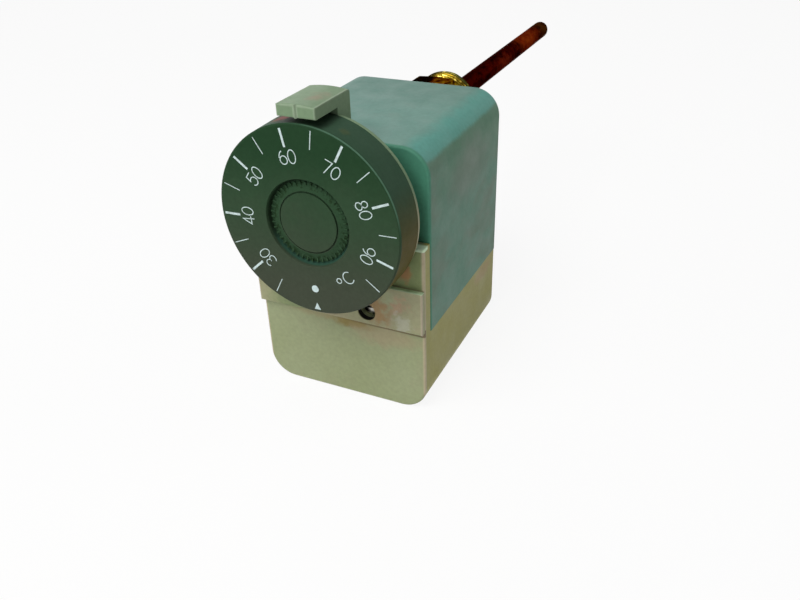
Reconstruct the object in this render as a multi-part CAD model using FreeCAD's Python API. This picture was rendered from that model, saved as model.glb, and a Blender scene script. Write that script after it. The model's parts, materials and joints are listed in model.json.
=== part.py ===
import FreeCAD, Part
import math
import os

# Immersion temperature control: a boxed dial control with a capillary sensor in a screw-in pocket.
# Millimetres. X is to the right of someone who faces the dial, Y runs back along the pocket, Z is up.
# The pieces are drawn with y = 0 at the cover's front, z = 0 at the foot and x = 0 at mid-width, and
# each is moved at export so that the origin lies on the pocket's axis, at the fitting's shoulder.

V = FreeCAD.Vector
AXIS_X = V(1, 0, 0)
AXIS_Y = V(0, 1, 0)
AXIS_Z = V(0, 0, 1)

# Case. Its height, depth and the heights of its axes follow from what it holds.
CASE_WIDTH = 53.4
TOP_CORNER_R = 8.1
BOTTOM_CORNER_R = 7.9
SEAM_Z = 26.2
TOP_ROOM = 12.9
COVER_WALL = 2.0
COVER_EDGE_R = 0.7
BASE_INSET = 0.15
BASE_WALL = 3.0
BASE_FLOOR = 2.6
TONGUE_WALL = 1.2
TONGUE_HEIGHT = 3.0
TONGUE_END_GAP = 1.0
SLIP = 0.15

# Front wall of the lower housing, which runs up before the cover
FRONT_PROUD = 3.85
FRONT_BELOW_DIAL = 8.7
FRONT_RIM = 3.0
FRONT_SKIN = 2.2
BASE_EDGE_R = 0.7

# Index plate: disc behind the dial, band at its foot and pointer tab at its top
BAND_PROUD = 1.85
BAND_ABOVE_SEAM = 1.6
BAND_HEIGHT = 13.5
DISC_INSET = 0.05
DISC_THICK = 1.15
PLATE_BOSS_WALL = 2.4
PLATE_EDGE_R = 0.4
TAB_WIDTH = 10.8
TAB_CLEAR = 1.45
TAB_THICK = 3.4
TAB_ROUND = 0.3
TAB_REACH = 10.7
TAB_REAR_GAP = 0.4
TAB_ROOT_DROP = 12.0
INDEX_RIDGE = 0.35

# Dial
DIAL_INSET = 0.35
DIAL_DEPTH = 10.1
DIAL_FLARE = 0.2
DIAL_BEVEL = 0.4
DIAL_GAP = 0.3
DIAL_FACE = 2.2
DIAL_SKIRT = 1.8
RECESS_R = 12.2
RECESS_DEPTH = 1.6
RECESS_DRAFT = 0.5
BUTTON_R = 8.25
BUTTON_SUNK = 0.7
BUTTON_GROOVE = 0.4
RING_RISE = 0.7
RIB_COUNT = 44
RIB_WIDTH = 0.45
RIB_HEIGHT = 0.2
RIB_INNER_GAP = 0.95
RIB_OUTER_GAP = 0.4
HUB_R = 6.5
HUB_BEHIND = 1.2

# Scale of the dial: degrees of temperature, and degrees of turn for each of them
SET_LOW = 25.0
SET_HIGH = 95.0
SET_REST = 63.0
TURN_PER_DEGREE = 4.0
STOP_INSIDE_RIM = 6.0
STOP_POST_R = 1.5
STOP_POST_LENGTH = 4.0
STOP_RIB = 1.8
STOP_CLEAR = 0.25
ROOT = 0.5

# Spindle, its bush and the nut that it drives
SPINDLE_R = 3.0
RUNNING = 0.05
FLAT_DEPTH = 1.0
SPINDLE_BEYOND_NUT = 6.0
COLLAR_R = 4.6
COLLAR_THICK = 1.0
COLLAR_GAP = 0.3
BUSH_R = 4.5
BUSH_HEAD_R = 6.5
BUSH_HEAD = 2.0
BUSH_SHOWS = 2.9
BUSH_NUT_FLATS = 12.5
BUSH_NUT_THICK = 2.6
BUSH_NUT_ROOM = 1.3
SET_NUT_SIDE = 14.0
SET_NUT_THICK = 5.0
SET_NUT_ROOM = 2.2
SET_NUT_EDGE_R = 1.0
GUIDE_GAP = 0.2
GUIDE_HEIGHT = 8.0
GUIDE_THICK = 1.2
GUIDE_BEYOND_NUT = 4.0
SEAT_R = 3.9
SEAT_HEIGHT = 1.5

# Chassis of folded sheet
SHEET = 1.5
SHELF_ABOVE_SEAM = 1.8
CHASSIS_SIDE_ROOM = 4.25
FLANGE_GAP = 2.0
FLANGE_ABOVE_DIAL = 11.3
REAR_RECESS = 1.0
REAR_SLIP = 0.2
BEND_R = 1.0
WINDOW_MARGIN = 1.0

# Lever, its pin and the spring that loads it
LEVER_THICK = 1.2
LEVER_HALF = 6.5
LEVER_BELOW_PLUNGER = 3.5
LEVER_ABOVE_DIAL = 6.5
LEVER_EAR = 6.0
LEVER_EAR_BEHIND = 2.0
FOOT_ARM = 10.0
HEAD_ARM = 16.2
PIN_R = 1.25
PIN_BEHIND_LEVER = 1.4
CONTACT = 0.2
SPRING_R = 5.0
SPRING_WIRE_R = 0.55
SPRING_PITCH = 2.26

# Capsule, its rod and its bracket
ROD_R = 1.5
ROD_SHOWS = 2.4
ROD_IN_CAPSULE = 3.0
CAPSULE_R = 12.0
CAPSULE_RIM = 0.9
CAPSULE_BODY_R = 10.4
CAPSULE_SLOPE = 1.0
CAPSULE_THICK = 4.6
CAPSULE_BOSS_R = 3.2
CAPSULE_BOSS = 2.0
STUD_R = 3.0
STUD_BEYOND_NUT = 0.95
CAPSULE_NUT_FLATS = 10.0
CAPSULE_NUT_THICK = 2.0
BRACKET_SHEET = 1.3
BRACKET_TO_POST = 5.0
BRACKET_ABOVE_DIAL = 9.3
BRACKET_FOOT = 9.5
BRACKET_SCREW_INSET = 3.0
PIN_EAR_GAP = 4.2
PIN_EAR_THICK = 1.2
PIN_EAR_HEIGHT = 10.0
PIN_END = 0.8

# Snap switch
SWITCH_MARGIN = 2.1
SWITCH_HIGH = 10.3
SWITCH_DEEP = 16.0
SWITCH_AHEAD = 5.5
SWITCH_EDGE_R = 0.8
PLUNGER_R = 1.3
PLUNGER_ABOVE_SHELF = 7.0
PLUNGER_SHOWS = 1.6
PLUNGER_INSIDE = 2.5
PLUNGER_BORE = 4.0
PLUNGER_EDGE_R = 0.4
SWITCH_HOLE_EDGE = 2.8
SWITCH_HOLE_GAP = 0.35
TERMINAL_SHARE = 0.36
TERMINAL_FILL = 0.675
TERMINAL_HEIGHT = 8.0
TERMINAL_THICK = 0.8
TERMINAL_SCREW_DEPTH = 4.0

# Fitting, pocket, bulb and capillary
THREAD_R = 10.48
THREAD_LENGTH = 9.25
THREAD_CHAMFER = 0.7
HEX_FLATS = 21.0
HEX_LENGTH = 9.0
HEX_CHAMFER = 0.3
FITTING_COLLAR_R = 9.8
FITTING_COLLAR = 6.9
NECK_R = 8.0
NECK_INSIDE = 2.9
FITTING_NUT_FLATS = 20.0
FITTING_NUT_THICK = 2.5
BRAZE_RING = 1.0
BRAZE_GAP = 0.05
POCKET_ABOVE_DIAL = 4.3
POCKET_R = 3.5
POCKET_WALL = 0.6
POCKET_REACH = 126.1
BULB_R = 2.6
BULB_LENGTH = 76.0
BULB_TIP_GAP = 0.7
BULB_NECK = 3.0
BULB_NECK_R = 1.125
CAPILLARY_R = 0.75
CAPILLARY_IN_STUD = 2.2
CAPILLARY_STRAIGHT = 0.05
CAPILLARY_TO_NECK = 2.7
LOOP_DROP = 16.7
LOOP_WIDTH = 16.0
LOOP_BEND_R = 6.0
END_BEND_R = 3.2

# Screws: head radius, head height, shank radius
M3_HEAD = (2.6, 1.8, 1.5)
M2_HEAD = (2.1, 1.4, 1.15)
HEAD_ROUND = 0.4
SLOT_WIDTH = 0.28
SLOT_DEPTH = 0.5
FRONT_SCREW_X = 9.4
FRONT_SCREW_ABOVE_SHELF = 2.4
FRONT_SCREW_HOLE_GAP = 0.2
FRONT_SCREW_SKIN = 1.0
FRONT_SCREW_BEYOND = 2.0
SCREW_CLEAR = 0.1
THREAD_FIT = 0.02
POST_R = 3.2
POST_EDGE = 3.0
POST_AHEAD = 6.0
POST_BEHIND = 4.1
POST_SCREW_DEPTH = 8.0
BRACKET_SCREW_EDGE = 3.8
EARTH_MARGIN = 1.0
EARTH_BEHIND_FLANGE = 14.5
EARTH_SIDE = 7.0
EARTH_THICK = 1.0
EARTH_DEPTH = 3.0

# Cable entry
CABLE_R = 4.0
GROMMET_WALL = 2.0
GROMMET_FLANGE = 1.2
GROMMET_RECESS = 2.5
ENTRY_RECESS = 1.2
GROMMET_SUNK = 0.3
ANVIL = 5.0
ANVIL_HALF = 4.0
CLAMP_Z = 14.0
CLAMP_POST_GAP = 1.8
CLAMP_GRIP = 0.4
CLAMP_END = 3.5
CLAMP_HEIGHT = 7.0
CLAMP_THICK = 2.5
CLAMP_SCREW_DEPTH = 7.0
CLAMP_EDGE_R = 1.0

# How far a cutting tool, or a piece that is joined on, runs past the face that it cuts or joins
PAST = 1.0

# Widths and planes that follow, from the front to the rear
HALF = CASE_WIDTH / 2
BASE_HALF = HALF - BASE_INSET
CHASSIS_HALF = HALF - COVER_WALL - CHASSIS_SIDE_ROOM
DIAL_R = HALF - DIAL_INSET
DISC_R = DIAL_R - DISC_INSET
POST_X = CHASSIS_HALF - POST_EDGE
BRACKET_HALF = POST_X - BRACKET_TO_POST
EARTH_X = CHASSIS_HALF - EARTH_MARGIN - EARTH_SIDE / 2
SWITCH_LONG = 2 * (CHASSIS_HALF - SWITCH_MARGIN) - EARTH_SIDE - EARTH_MARGIN
SWITCH_X = SWITCH_MARGIN + SWITCH_LONG / 2 - CHASSIS_HALF
SWITCH_HOLE_PITCH = SWITCH_LONG - 2 * SWITCH_HOLE_EDGE
TERMINAL_PITCH = SWITCH_HOLE_PITCH * TERMINAL_SHARE
TERMINAL_WIDTH = TERMINAL_PITCH * TERMINAL_FILL
FRONT_Y = -FRONT_PROUD
BAND_Y = FRONT_Y - BAND_PROUD
DISC_Y = BAND_Y - DISC_THICK
DIAL_REAR_Y = DISC_Y - DIAL_GAP
DIAL_FRONT_Y = DIAL_REAR_Y - DIAL_DEPTH
FACE_INSIDE_Y = DIAL_FRONT_Y + DIAL_FACE
HUB_FLOOR_Y = DIAL_FRONT_Y + RECESS_DEPTH + DIAL_FACE
HUB_REAR_Y = DIAL_REAR_Y - HUB_BEHIND
BASE_INSIDE_Y = FRONT_Y + BASE_WALL
FLANGE_Y = COVER_WALL + FLANGE_GAP
FLANGE_REAR = FLANGE_Y + SHEET
BUSH_FRONT_Y = FLANGE_Y - BUSH_NUT_THICK - BUSH_SHOWS
BUSH_REAR = FLANGE_REAR + BUSH_HEAD
COLLAR_Y = BUSH_REAR + COLLAR_GAP
SET_NUT_Y = COLLAR_Y + COLLAR_THICK + SET_NUT_ROOM
SET_NUT_REAR = SET_NUT_Y + SET_NUT_THICK
SWITCH_Y = FLANGE_REAR + SWITCH_AHEAD
SWITCH_REAR = SWITCH_Y + SWITCH_DEEP
PLUNGER_TIP_Y = SWITCH_REAR + PLUNGER_SHOWS
LEVER_FRONT_Y = PLUNGER_TIP_Y + CONTACT
LEVER_REAR_Y = LEVER_FRONT_Y + LEVER_THICK
PIN_Y = LEVER_REAR_Y + PIN_BEHIND_LEVER
CAPSULE_Y = LEVER_REAR_Y + ROD_SHOWS + CAPSULE_BOSS
BRACKET_Y = CAPSULE_Y + CAPSULE_THICK
BRACKET_REAR = BRACKET_Y + BRACKET_SHEET
STUD_END = BRACKET_REAR + CAPSULE_NUT_THICK + STUD_BEYOND_NUT
CAPILLARY_Y = STUD_END + END_BEND_R + CAPILLARY_STRAIGHT
NECK_FRONT_Y = CAPILLARY_Y + CAPILLARY_TO_NECK
REAR_IN_Y = NECK_FRONT_Y + NECK_INSIDE
REAR_OUT_Y = REAR_IN_Y + SHEET
CASE_DEPTH = REAR_OUT_Y + REAR_RECESS
SHOULDER_Y = REAR_OUT_Y + FITTING_COLLAR + HEX_LENGTH
THREAD_END_Y = SHOULDER_Y + THREAD_LENGTH
POCKET_TIP_Y = SHOULDER_Y + POCKET_REACH
BULB_TIP_Y = POCKET_TIP_Y - POCKET_WALL - BULB_TIP_GAP
BULB_START_Y = BULB_TIP_Y - BULB_LENGTH

# Heights that follow, from the seam to the top
SHELF_Z = SEAM_Z + SHELF_ABOVE_SEAM
SHELF_TOP = SHELF_Z + SHEET
SWITCH_TOP = SHELF_TOP + SWITCH_HIGH
PLUNGER_Z = SHELF_TOP + PLUNGER_ABOVE_SHELF
PIN_Z = PLUNGER_Z + FOOT_ARM
DIAL_Z = PIN_Z + HEAD_ARM
POCKET_Z = DIAL_Z + POCKET_ABOVE_DIAL
CASE_HEIGHT = POCKET_Z + TOP_ROOM
FRONT_TOP_Z = DIAL_Z - FRONT_BELOW_DIAL
BAND_LOW_Z = SEAM_Z + BAND_ABOVE_SEAM
BAND_TOP_Z = BAND_LOW_Z + BAND_HEIGHT
TAB_LOW_Z = DIAL_Z + DIAL_R + TAB_CLEAR
TAB_TOP_Z = TAB_LOW_Z + TAB_THICK
TAB_TOP_R = TAB_TOP_Z - DIAL_Z

# Other sizes that follow
NUT_CORNER = BUSH_NUT_FLATS / math.sqrt(3)
FRONT_HOLE_R = NUT_CORNER + BUSH_NUT_ROOM
STOP_RADIUS = DIAL_R - STOP_INSIDE_RIM
PIN_EAR_X = BRACKET_HALF + PIN_EAR_GAP
FRONT_SCREW_Z = SHELF_TOP + FRONT_SCREW_ABOVE_SHELF
FRONT_SCREW_HOLE_R = M3_HEAD[0] + FRONT_SCREW_HOLE_GAP
FRONT_SCREW_SEAT_Y = -FRONT_SCREW_SKIN
POST_YS = (BRACKET_Y - POST_AHEAD, REAR_IN_Y - POST_BEHIND)
EARTH_Y = FLANGE_REAR + EARTH_BEHIND_FLANGE
CABLE_Y = BASE_INSIDE_Y + ANVIL + CABLE_R
ENTRY_R = CABLE_R + GROMMET_WALL
ENTRY_RECESS_R = ENTRY_R + GROMMET_RECESS
CLAMP_Y = BASE_INSIDE_Y + ANVIL + 2 * CABLE_R - CLAMP_GRIP
CLAMP_POST_X = CABLE_R + CLAMP_POST_GAP + POST_R
CLAMP_HALF = CLAMP_POST_X + CLAMP_END


def box(x0, x1, y0, y1, z0, z1):
    return Part.makeBox(x1 - x0, y1 - y0, z1 - z0, V(x0, y0, z0))


def rod_x(radius, x0, x1, y, z):
    return Part.makeCylinder(radius, x1 - x0, V(x0, y, z), AXIS_X)


def rod_y(radius, y0, y1, x, z):
    return Part.makeCylinder(radius, y1 - y0, V(x, y0, z), AXIS_Y)


def rod_z(radius, z0, z1, x, y):
    return Part.makeCylinder(radius, z1 - z0, V(x, y, z0), AXIS_Z)


def hex_y(flats, y0, y1, z):
    # Hexagonal bar along Y with a flat on top
    corner = flats / math.sqrt(3)
    points = []
    for i in range(7):
        turn = math.radians(60 * i)
        points.append(V(corner * math.cos(turn), y0, z + corner * math.sin(turn)))
    return Part.Face(Part.makePolygon(points)).extrude(V(0, y1 - y0, 0))


def turned_y(outline, z):
    # Solid turned about the Y axis at height z from (radius, y) points
    points = [V(r, y, z) for r, y in outline]
    points.append(points[0])
    return Part.Face(Part.makePolygon(points)).revolve(V(0, 0, z), AXIS_Y, 360)


def rounded_prism(half, z0, z1, low_r, top_r, y0, y1):
    # Upright rectangle with rounded lower and upper corners, drawn out along Y
    corners = [(half, z0, low_r, 1, -1), (half, z1, top_r, 1, 1),
               (-half, z1, top_r, -1, 1), (-half, z0, low_r, -1, -1)]
    edges = []
    ends = []
    for x, z, r, out_x, out_z in corners:
        centre = V(x - out_x * r, y0, z - out_z * r)
        side = centre + V(out_x * r, 0, 0)
        end = centre + V(0, 0, out_z * r)
        middle = centre + V(out_x * r, 0, out_z * r) * math.sqrt(0.5)
        first, last = (end, side) if out_x * out_z < 0 else (side, end)
        if r > 0:
            edges.append(Part.Arc(first, middle, last).toShape())
        ends.append((first, last))
    for i in range(4):
        edges.append(Part.LineSegment(ends[i][1], ends[(i + 1) % 4][0]).toShape())
    wire = Part.Wire(Part.__sortEdges__(edges))
    return Part.Face(wire).extrude(V(0, y1 - y0, 0))


def edges_where(shape, test):
    # Edges whose two ends both pass the test
    return [e for e in shape.Edges if all(test(v.Point) for v in e.Vertexes)]


def near(a, b):
    return abs(a - b) < 1e-6


def fold(shape, y, z, radius):
    # Round a straight edge that runs along X at (y, z)
    picked = edges_where(shape, lambda p: near(p.y, y) and near(p.z, z))
    return shape.makeFillet(radius, picked)


def screw(size, length, at, along):
    # Pan-head screw with a slot: the head's underside is at the point, the shank runs along the axis
    head_r, head_h, shank_r = size
    head = Part.makeCylinder(head_r, head_h, V(0, 0, -head_h))
    rim = [e for e in head.Edges if near(e.BoundBox.ZMax, -head_h) and len(e.Vertexes) == 1]
    head = head.makeFillet(head_h * HEAD_ROUND, rim)
    slot_half = head_r * SLOT_WIDTH / 2
    slot = box(-head_r, head_r, -slot_half, slot_half, -head_h, head_h * (SLOT_DEPTH - 1))
    body = head.cut(slot).fuse(Part.makeCylinder(shank_r, length))
    body = body.removeSplitter()
    body.Placement = FreeCAD.Placement(V(*at), FreeCAD.Rotation(AXIS_Z, along))
    return body


def group(shapes):
    return Part.makeCompound(shapes)


def cover():
    outer = rounded_prism(HALF, SEAM_Z, CASE_HEIGHT, 0, TOP_CORNER_R, 0, CASE_DEPTH)
    front = edges_where(outer, lambda p: near(p.y, 0) and p.z > SEAM_Z - 1e-6)
    front = [e for e in front if e.BoundBox.ZMax > SEAM_Z + 1e-6]
    outer = outer.makeFillet(COVER_EDGE_R, front)
    inner = rounded_prism(HALF - COVER_WALL, SEAM_Z - PAST, CASE_HEIGHT - COVER_WALL, 0,
                          TOP_CORNER_R - COVER_WALL, COVER_WALL, CASE_DEPTH + PAST)
    shell = outer.cut(inner)
    shell = shell.cut(rod_y(FRONT_HOLE_R, -PAST, COVER_WALL + PAST, 0, DIAL_Z))
    hole = rod_y(M3_HEAD[2] + SCREW_CLEAR, -PAST, COVER_WALL + PAST, FRONT_SCREW_X, FRONT_SCREW_Z)
    return shell.cut(hole)


def base_housing():
    outer = rounded_prism(BASE_HALF, 0, SEAM_Z, BOTTOM_CORNER_R, 0, FRONT_Y, CASE_DEPTH)
    outer = outer.makeFillet(BASE_EDGE_R, open_edges(outer, SEAM_Z))
    wall = box(-BASE_HALF, BASE_HALF, FRONT_Y, 0, SEAM_Z, FRONT_TOP_Z)
    wall = wall.makeFillet(BASE_EDGE_R, open_edges(wall, SEAM_Z))
    relief = box(-BASE_HALF + FRONT_RIM, BASE_HALF - FRONT_RIM, FRONT_Y + FRONT_SKIN, 0,
                 BAND_TOP_Z, FRONT_TOP_Z - FRONT_RIM)
    inner = rounded_prism(BASE_HALF - BASE_WALL, BASE_FLOOR, SEAM_Z + PAST,
                          BOTTOM_CORNER_R - BASE_WALL, 0, BASE_INSIDE_Y, CASE_DEPTH - BASE_WALL)
    inner = inner.cut(box(-HALF, HALF, FRONT_Y, 0, SEAM_Z, SEAM_Z + 2))
    shell = outer.fuse(wall.cut(relief)).cut(inner)
    tongue_out = HALF - COVER_WALL - SLIP
    for side in (-1, 1):
        near_x, far_x = sorted((side * (tongue_out - TONGUE_WALL), side * tongue_out))
        shell = shell.fuse(box(near_x, far_x, COVER_WALL + SLIP, REAR_IN_Y - TONGUE_END_GAP,
                               SEAM_Z - PAST, SEAM_Z + TONGUE_HEIGHT))
    for x, y in post_places():
        post = rod_z(POST_R, BASE_FLOOR / 2, SHELF_Z, x, y)
        shell = shell.fuse(post)
        shell = shell.cut(rod_z(M3_HEAD[2] + THREAD_FIT, SHELF_TOP - POST_SCREW_DEPTH - PAST,
                                SHELF_Z + PAST, x, y))
    for x in (-CLAMP_POST_X, CLAMP_POST_X):
        shell = shell.fuse(rod_y(POST_R, BASE_INSIDE_Y - PAST, CLAMP_Y, x, CLAMP_Z))
        shell = shell.cut(rod_y(M3_HEAD[2] + THREAD_FIT, CLAMP_Y + CLAMP_THICK - CLAMP_SCREW_DEPTH - PAST,
                                CLAMP_Y + PAST, x, CLAMP_Z))
    shell = shell.fuse(box(-ANVIL_HALF, ANVIL_HALF, BASE_INSIDE_Y - PAST, BASE_INSIDE_Y + ANVIL,
                           CLAMP_Z - ANVIL_HALF / 2, CLAMP_Z + ANVIL_HALF / 2))
    shell = shell.cut(rod_z(ENTRY_R, -PAST, BASE_FLOOR + PAST, 0, CABLE_Y))
    shell = shell.cut(rod_z(ENTRY_RECESS_R, -PAST, ENTRY_RECESS, 0, CABLE_Y))
    shell = shell.cut(rod_y(FRONT_SCREW_HOLE_R, FRONT_Y - PAST, FRONT_SCREW_SEAT_Y,
                            FRONT_SCREW_X, FRONT_SCREW_Z))
    shell = shell.cut(rod_y(M3_HEAD[2] + SCREW_CLEAR, FRONT_Y, PAST, FRONT_SCREW_X, FRONT_SCREW_Z))
    return shell.removeSplitter()


def open_edges(shape, joined_z):
    # Edges of the front face, apart from the one where the shape is joined on
    edges = edges_where(shape, lambda p: near(p.y, FRONT_Y))
    return [e for e in edges if not (near(e.BoundBox.ZMin, joined_z) and near(e.BoundBox.ZMax, joined_z))]


def post_places():
    return [(side * POST_X, y) for y in POST_YS for side in (-1, 1)]


def front_plate():
    disc = rod_y(DISC_R, DISC_Y, BAND_Y, 0, DIAL_Z)
    disc = disc.makeFillet(PLATE_EDGE_R, edges_where(disc, lambda p: near(p.y, DISC_Y)))
    band = box(-BASE_HALF, BASE_HALF, BAND_Y, FRONT_Y, BAND_LOW_Z, BAND_TOP_Z)
    band = band.makeFillet(PLATE_EDGE_R, edges_where(band, lambda p: near(p.y, BAND_Y)))
    boss = rod_y(FRONT_HOLE_R + PLATE_BOSS_WALL, BAND_Y, 0, 0, DIAL_Z)
    boss = boss.cut(rod_y(FRONT_HOLE_R, BAND_Y, PAST, 0, DIAL_Z))
    boss = boss.cut(box(-HALF, HALF, FRONT_Y, PAST, 0, FRONT_TOP_Z + SLIP))
    half = TAB_WIDTH / 2
    root = box(-half, half, DISC_Y, -TAB_REAR_GAP, TAB_TOP_Z - TAB_ROOT_DROP, TAB_TOP_Z)
    behind = box(-half, half, BAND_Y, -TAB_REAR_GAP, TAB_TOP_Z - TAB_ROOT_DROP, TAB_TOP_Z)
    above = box(-half, half, DISC_Y, BAND_Y, DIAL_Z, TAB_TOP_Z)
    root = root.common(behind.fuse(above))
    top = box(-half, half, DISC_Y - TAB_REACH, -TAB_REAR_GAP, TAB_LOW_Z, TAB_TOP_Z)
    ridge_y = DISC_Y - TAB_REACH
    # The tab's top follows the dial's circle. The cylinder's seam is turned down, clear of the tab.
    crown = rod_y(TAB_TOP_R, ridge_y - PAST, 0, 0, DIAL_Z)
    crown.rotate(V(0, 0, DIAL_Z), AXIS_Y, 180)
    arm = root.fuse(top).removeSplitter().common(crown).Solids[0]
    top_rear = edges_where(arm, lambda p: near(p.y, -TAB_REAR_GAP) and p.z > TAB_LOW_Z)
    arm = arm.makeFillet(TAB_THICK * TAB_ROUND, top_rear)
    arm = arm.makeFillet(PLATE_EDGE_R, edges_where(arm, lambda p: near(p.y, ridge_y)))
    ridge = Part.makePolygon([V(-INDEX_RIDGE, ridge_y, TAB_LOW_Z), V(0, ridge_y - INDEX_RIDGE, TAB_LOW_Z),
                              V(INDEX_RIDGE, ridge_y, TAB_LOW_Z), V(-INDEX_RIDGE, ridge_y, TAB_LOW_Z)])
    ridge = Part.Face(ridge).extrude(V(0, 0, TAB_TOP_Z - TAB_LOW_Z)).common(crown)
    stop = rod_y(STOP_POST_R, DISC_Y - STOP_POST_LENGTH, DISC_Y + ROOT, 0, DIAL_Z - STOP_RADIUS)
    plate = disc.fuse([band, boss, arm, ridge, stop])
    plate = plate.cut(rod_y(SPINDLE_R + DIAL_GAP, DISC_Y - PAST, BAND_Y + PAST, 0, DIAL_Z))
    plate = plate.cut(rod_y(FRONT_SCREW_HOLE_R, DISC_Y - PAST, FRONT_Y + PAST, FRONT_SCREW_X, FRONT_SCREW_Z))
    return plate.removeSplitter()


def stop_rib_angles():
    # Turn, clockwise from the top as seen from the front, of the two ribs that meet the post
    half_widths = STOP_POST_R + STOP_RIB / 2 + STOP_CLEAR
    margin = math.degrees(half_widths / STOP_RADIUS)
    up = (SET_HIGH - SET_REST) * TURN_PER_DEGREE
    down = (SET_REST - SET_LOW) * TURN_PER_DEGREE
    return (180 + up + margin, 180 - down - margin)


def dial_knob():
    front = DIAL_FRONT_Y
    rear_r = DIAL_R + DIAL_FLARE
    ring_r = BUTTON_R + BUTTON_GROOVE
    ring_low = front + RECESS_DEPTH
    outline = [
        (0, front + BUTTON_SUNK), (BUTTON_R, front + BUTTON_SUNK),
        (BUTTON_R, ring_low - RING_RISE + BUTTON_GROOVE), (ring_r, ring_low - RING_RISE + BUTTON_GROOVE),
        (ring_r, ring_low - RING_RISE), (RECESS_R - RECESS_DRAFT, ring_low), (RECESS_R, front),
        (DIAL_R - DIAL_BEVEL, front), (DIAL_R, front + DIAL_BEVEL), (rear_r, DIAL_REAR_Y),
        (rear_r - DIAL_SKIRT, DIAL_REAR_Y), (DIAL_R - DIAL_SKIRT, FACE_INSIDE_Y),
        (RECESS_R + DIAL_FACE, FACE_INSIDE_Y), (RECESS_R, HUB_FLOOR_Y), (HUB_R, HUB_FLOOR_Y),
        (HUB_R, HUB_REAR_Y), (SPINDLE_R + THREAD_FIT, HUB_REAR_Y), (SPINDLE_R + THREAD_FIT, HUB_FLOOR_Y),
        (0, HUB_FLOOR_Y),
    ]
    body = turned_y(outline, DIAL_Z)
    ribs = []
    ring_width = RECESS_R - RECESS_DRAFT - ring_r
    rib_half = (ring_width - RIB_INNER_GAP - RIB_OUTER_GAP) / 2
    rib_mid = ring_r + RIB_INNER_GAP + rib_half
    rib_y = ring_low - RING_RISE * (RIB_OUTER_GAP + rib_half) / ring_width
    slope = math.degrees(math.atan2(RING_RISE, ring_width))
    for i in range(RIB_COUNT):
        rib = box(-RIB_WIDTH / 2, RIB_WIDTH / 2, -RIB_HEIGHT, RIB_HEIGHT, -rib_half, rib_half)
        rib.rotate(V(0, 0, 0), AXIS_X, slope)
        rib.translate(V(0, rib_y, DIAL_Z + rib_mid))
        rib.rotate(V(0, 0, DIAL_Z), AXIS_Y, 360.0 * i / RIB_COUNT)
        ribs.append(rib)
    for angle in stop_rib_angles():
        rib = box(-STOP_RIB / 2, STOP_RIB / 2, FACE_INSIDE_Y - ROOT, DISC_Y - STOP_POST_LENGTH / 2,
                  DIAL_Z + STOP_RADIUS - STOP_POST_R, DIAL_Z + STOP_RADIUS + STOP_POST_R)
        rib.rotate(V(0, 0, DIAL_Z), AXIS_Y, angle)
        ribs.append(rib)
    return body.fuse(ribs)


def spindle():
    body = rod_y(SPINDLE_R, HUB_FLOOR_Y + SLIP, SET_NUT_REAR + SPINDLE_BEYOND_NUT, 0, DIAL_Z)
    body = body.fuse(rod_y(COLLAR_R, COLLAR_Y, COLLAR_Y + COLLAR_THICK, 0, DIAL_Z))
    flat = box(-SPINDLE_R, SPINDLE_R, HUB_FLOOR_Y, HUB_REAR_Y, DIAL_Z + SPINDLE_R - FLAT_DEPTH,
               DIAL_Z + SPINDLE_R)
    return body.cut(flat)


def knob_clip():
    blank = rod_y(SPINDLE_R - RUNNING, HUB_FLOOR_Y + SLIP, HUB_REAR_Y - SLIP, 0, DIAL_Z)
    seat = DIAL_Z + SPINDLE_R - FLAT_DEPTH + RUNNING
    return blank.common(box(-SPINDLE_R, SPINDLE_R, HUB_FLOOR_Y, HUB_REAR_Y, seat, DIAL_Z + SPINDLE_R))


def spindle_bush():
    body = rod_y(BUSH_R, BUSH_FRONT_Y, BUSH_REAR, 0, DIAL_Z)
    body = body.fuse(rod_y(BUSH_HEAD_R, FLANGE_REAR, BUSH_REAR, 0, DIAL_Z))
    return body.cut(rod_y(SPINDLE_R + RUNNING, BUSH_FRONT_Y - PAST, BUSH_REAR + PAST, 0, DIAL_Z))


def bush_nut():
    body = hex_y(BUSH_NUT_FLATS, FLANGE_Y - BUSH_NUT_THICK, FLANGE_Y, DIAL_Z)
    return body.cut(rod_y(BUSH_R + THREAD_FIT, FLANGE_Y - BUSH_NUT_THICK - PAST, FLANGE_Y + PAST,
                          0, DIAL_Z))


def setpoint_nut():
    side = SET_NUT_SIDE / 2
    seat_end = SET_NUT_REAR + SEAT_HEIGHT
    body = box(-side, side, SET_NUT_Y, SET_NUT_REAR, DIAL_Z - side, DIAL_Z + side)
    body = body.makeFillet(SET_NUT_EDGE_R, [e for e in body.Edges
                                            if near(e.BoundBox.YLength, SET_NUT_THICK)])
    body = body.fuse(rod_y(SEAT_R, SET_NUT_REAR, seat_end, 0, DIAL_Z))
    return body.cut(rod_y(SPINDLE_R + RUNNING, SET_NUT_Y - PAST, seat_end + PAST, 0, DIAL_Z))


def range_spring():
    start = SET_NUT_REAR + CONTACT + SPRING_WIRE_R
    end = LEVER_FRONT_Y - CONTACT - SPRING_WIRE_R
    helix = Part.makeHelix(SPRING_PITCH, end - start, SPRING_R)
    ring = Part.Wire(Part.makeCircle(SPRING_WIRE_R, V(SPRING_R, 0, 0), AXIS_Y))
    coil = Part.Wire(helix).makePipeShell([ring], True, True)
    coil.rotate(V(0, 0, 0), AXIS_X, -90)
    coil.translate(V(0, start, DIAL_Z))
    return coil


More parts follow.
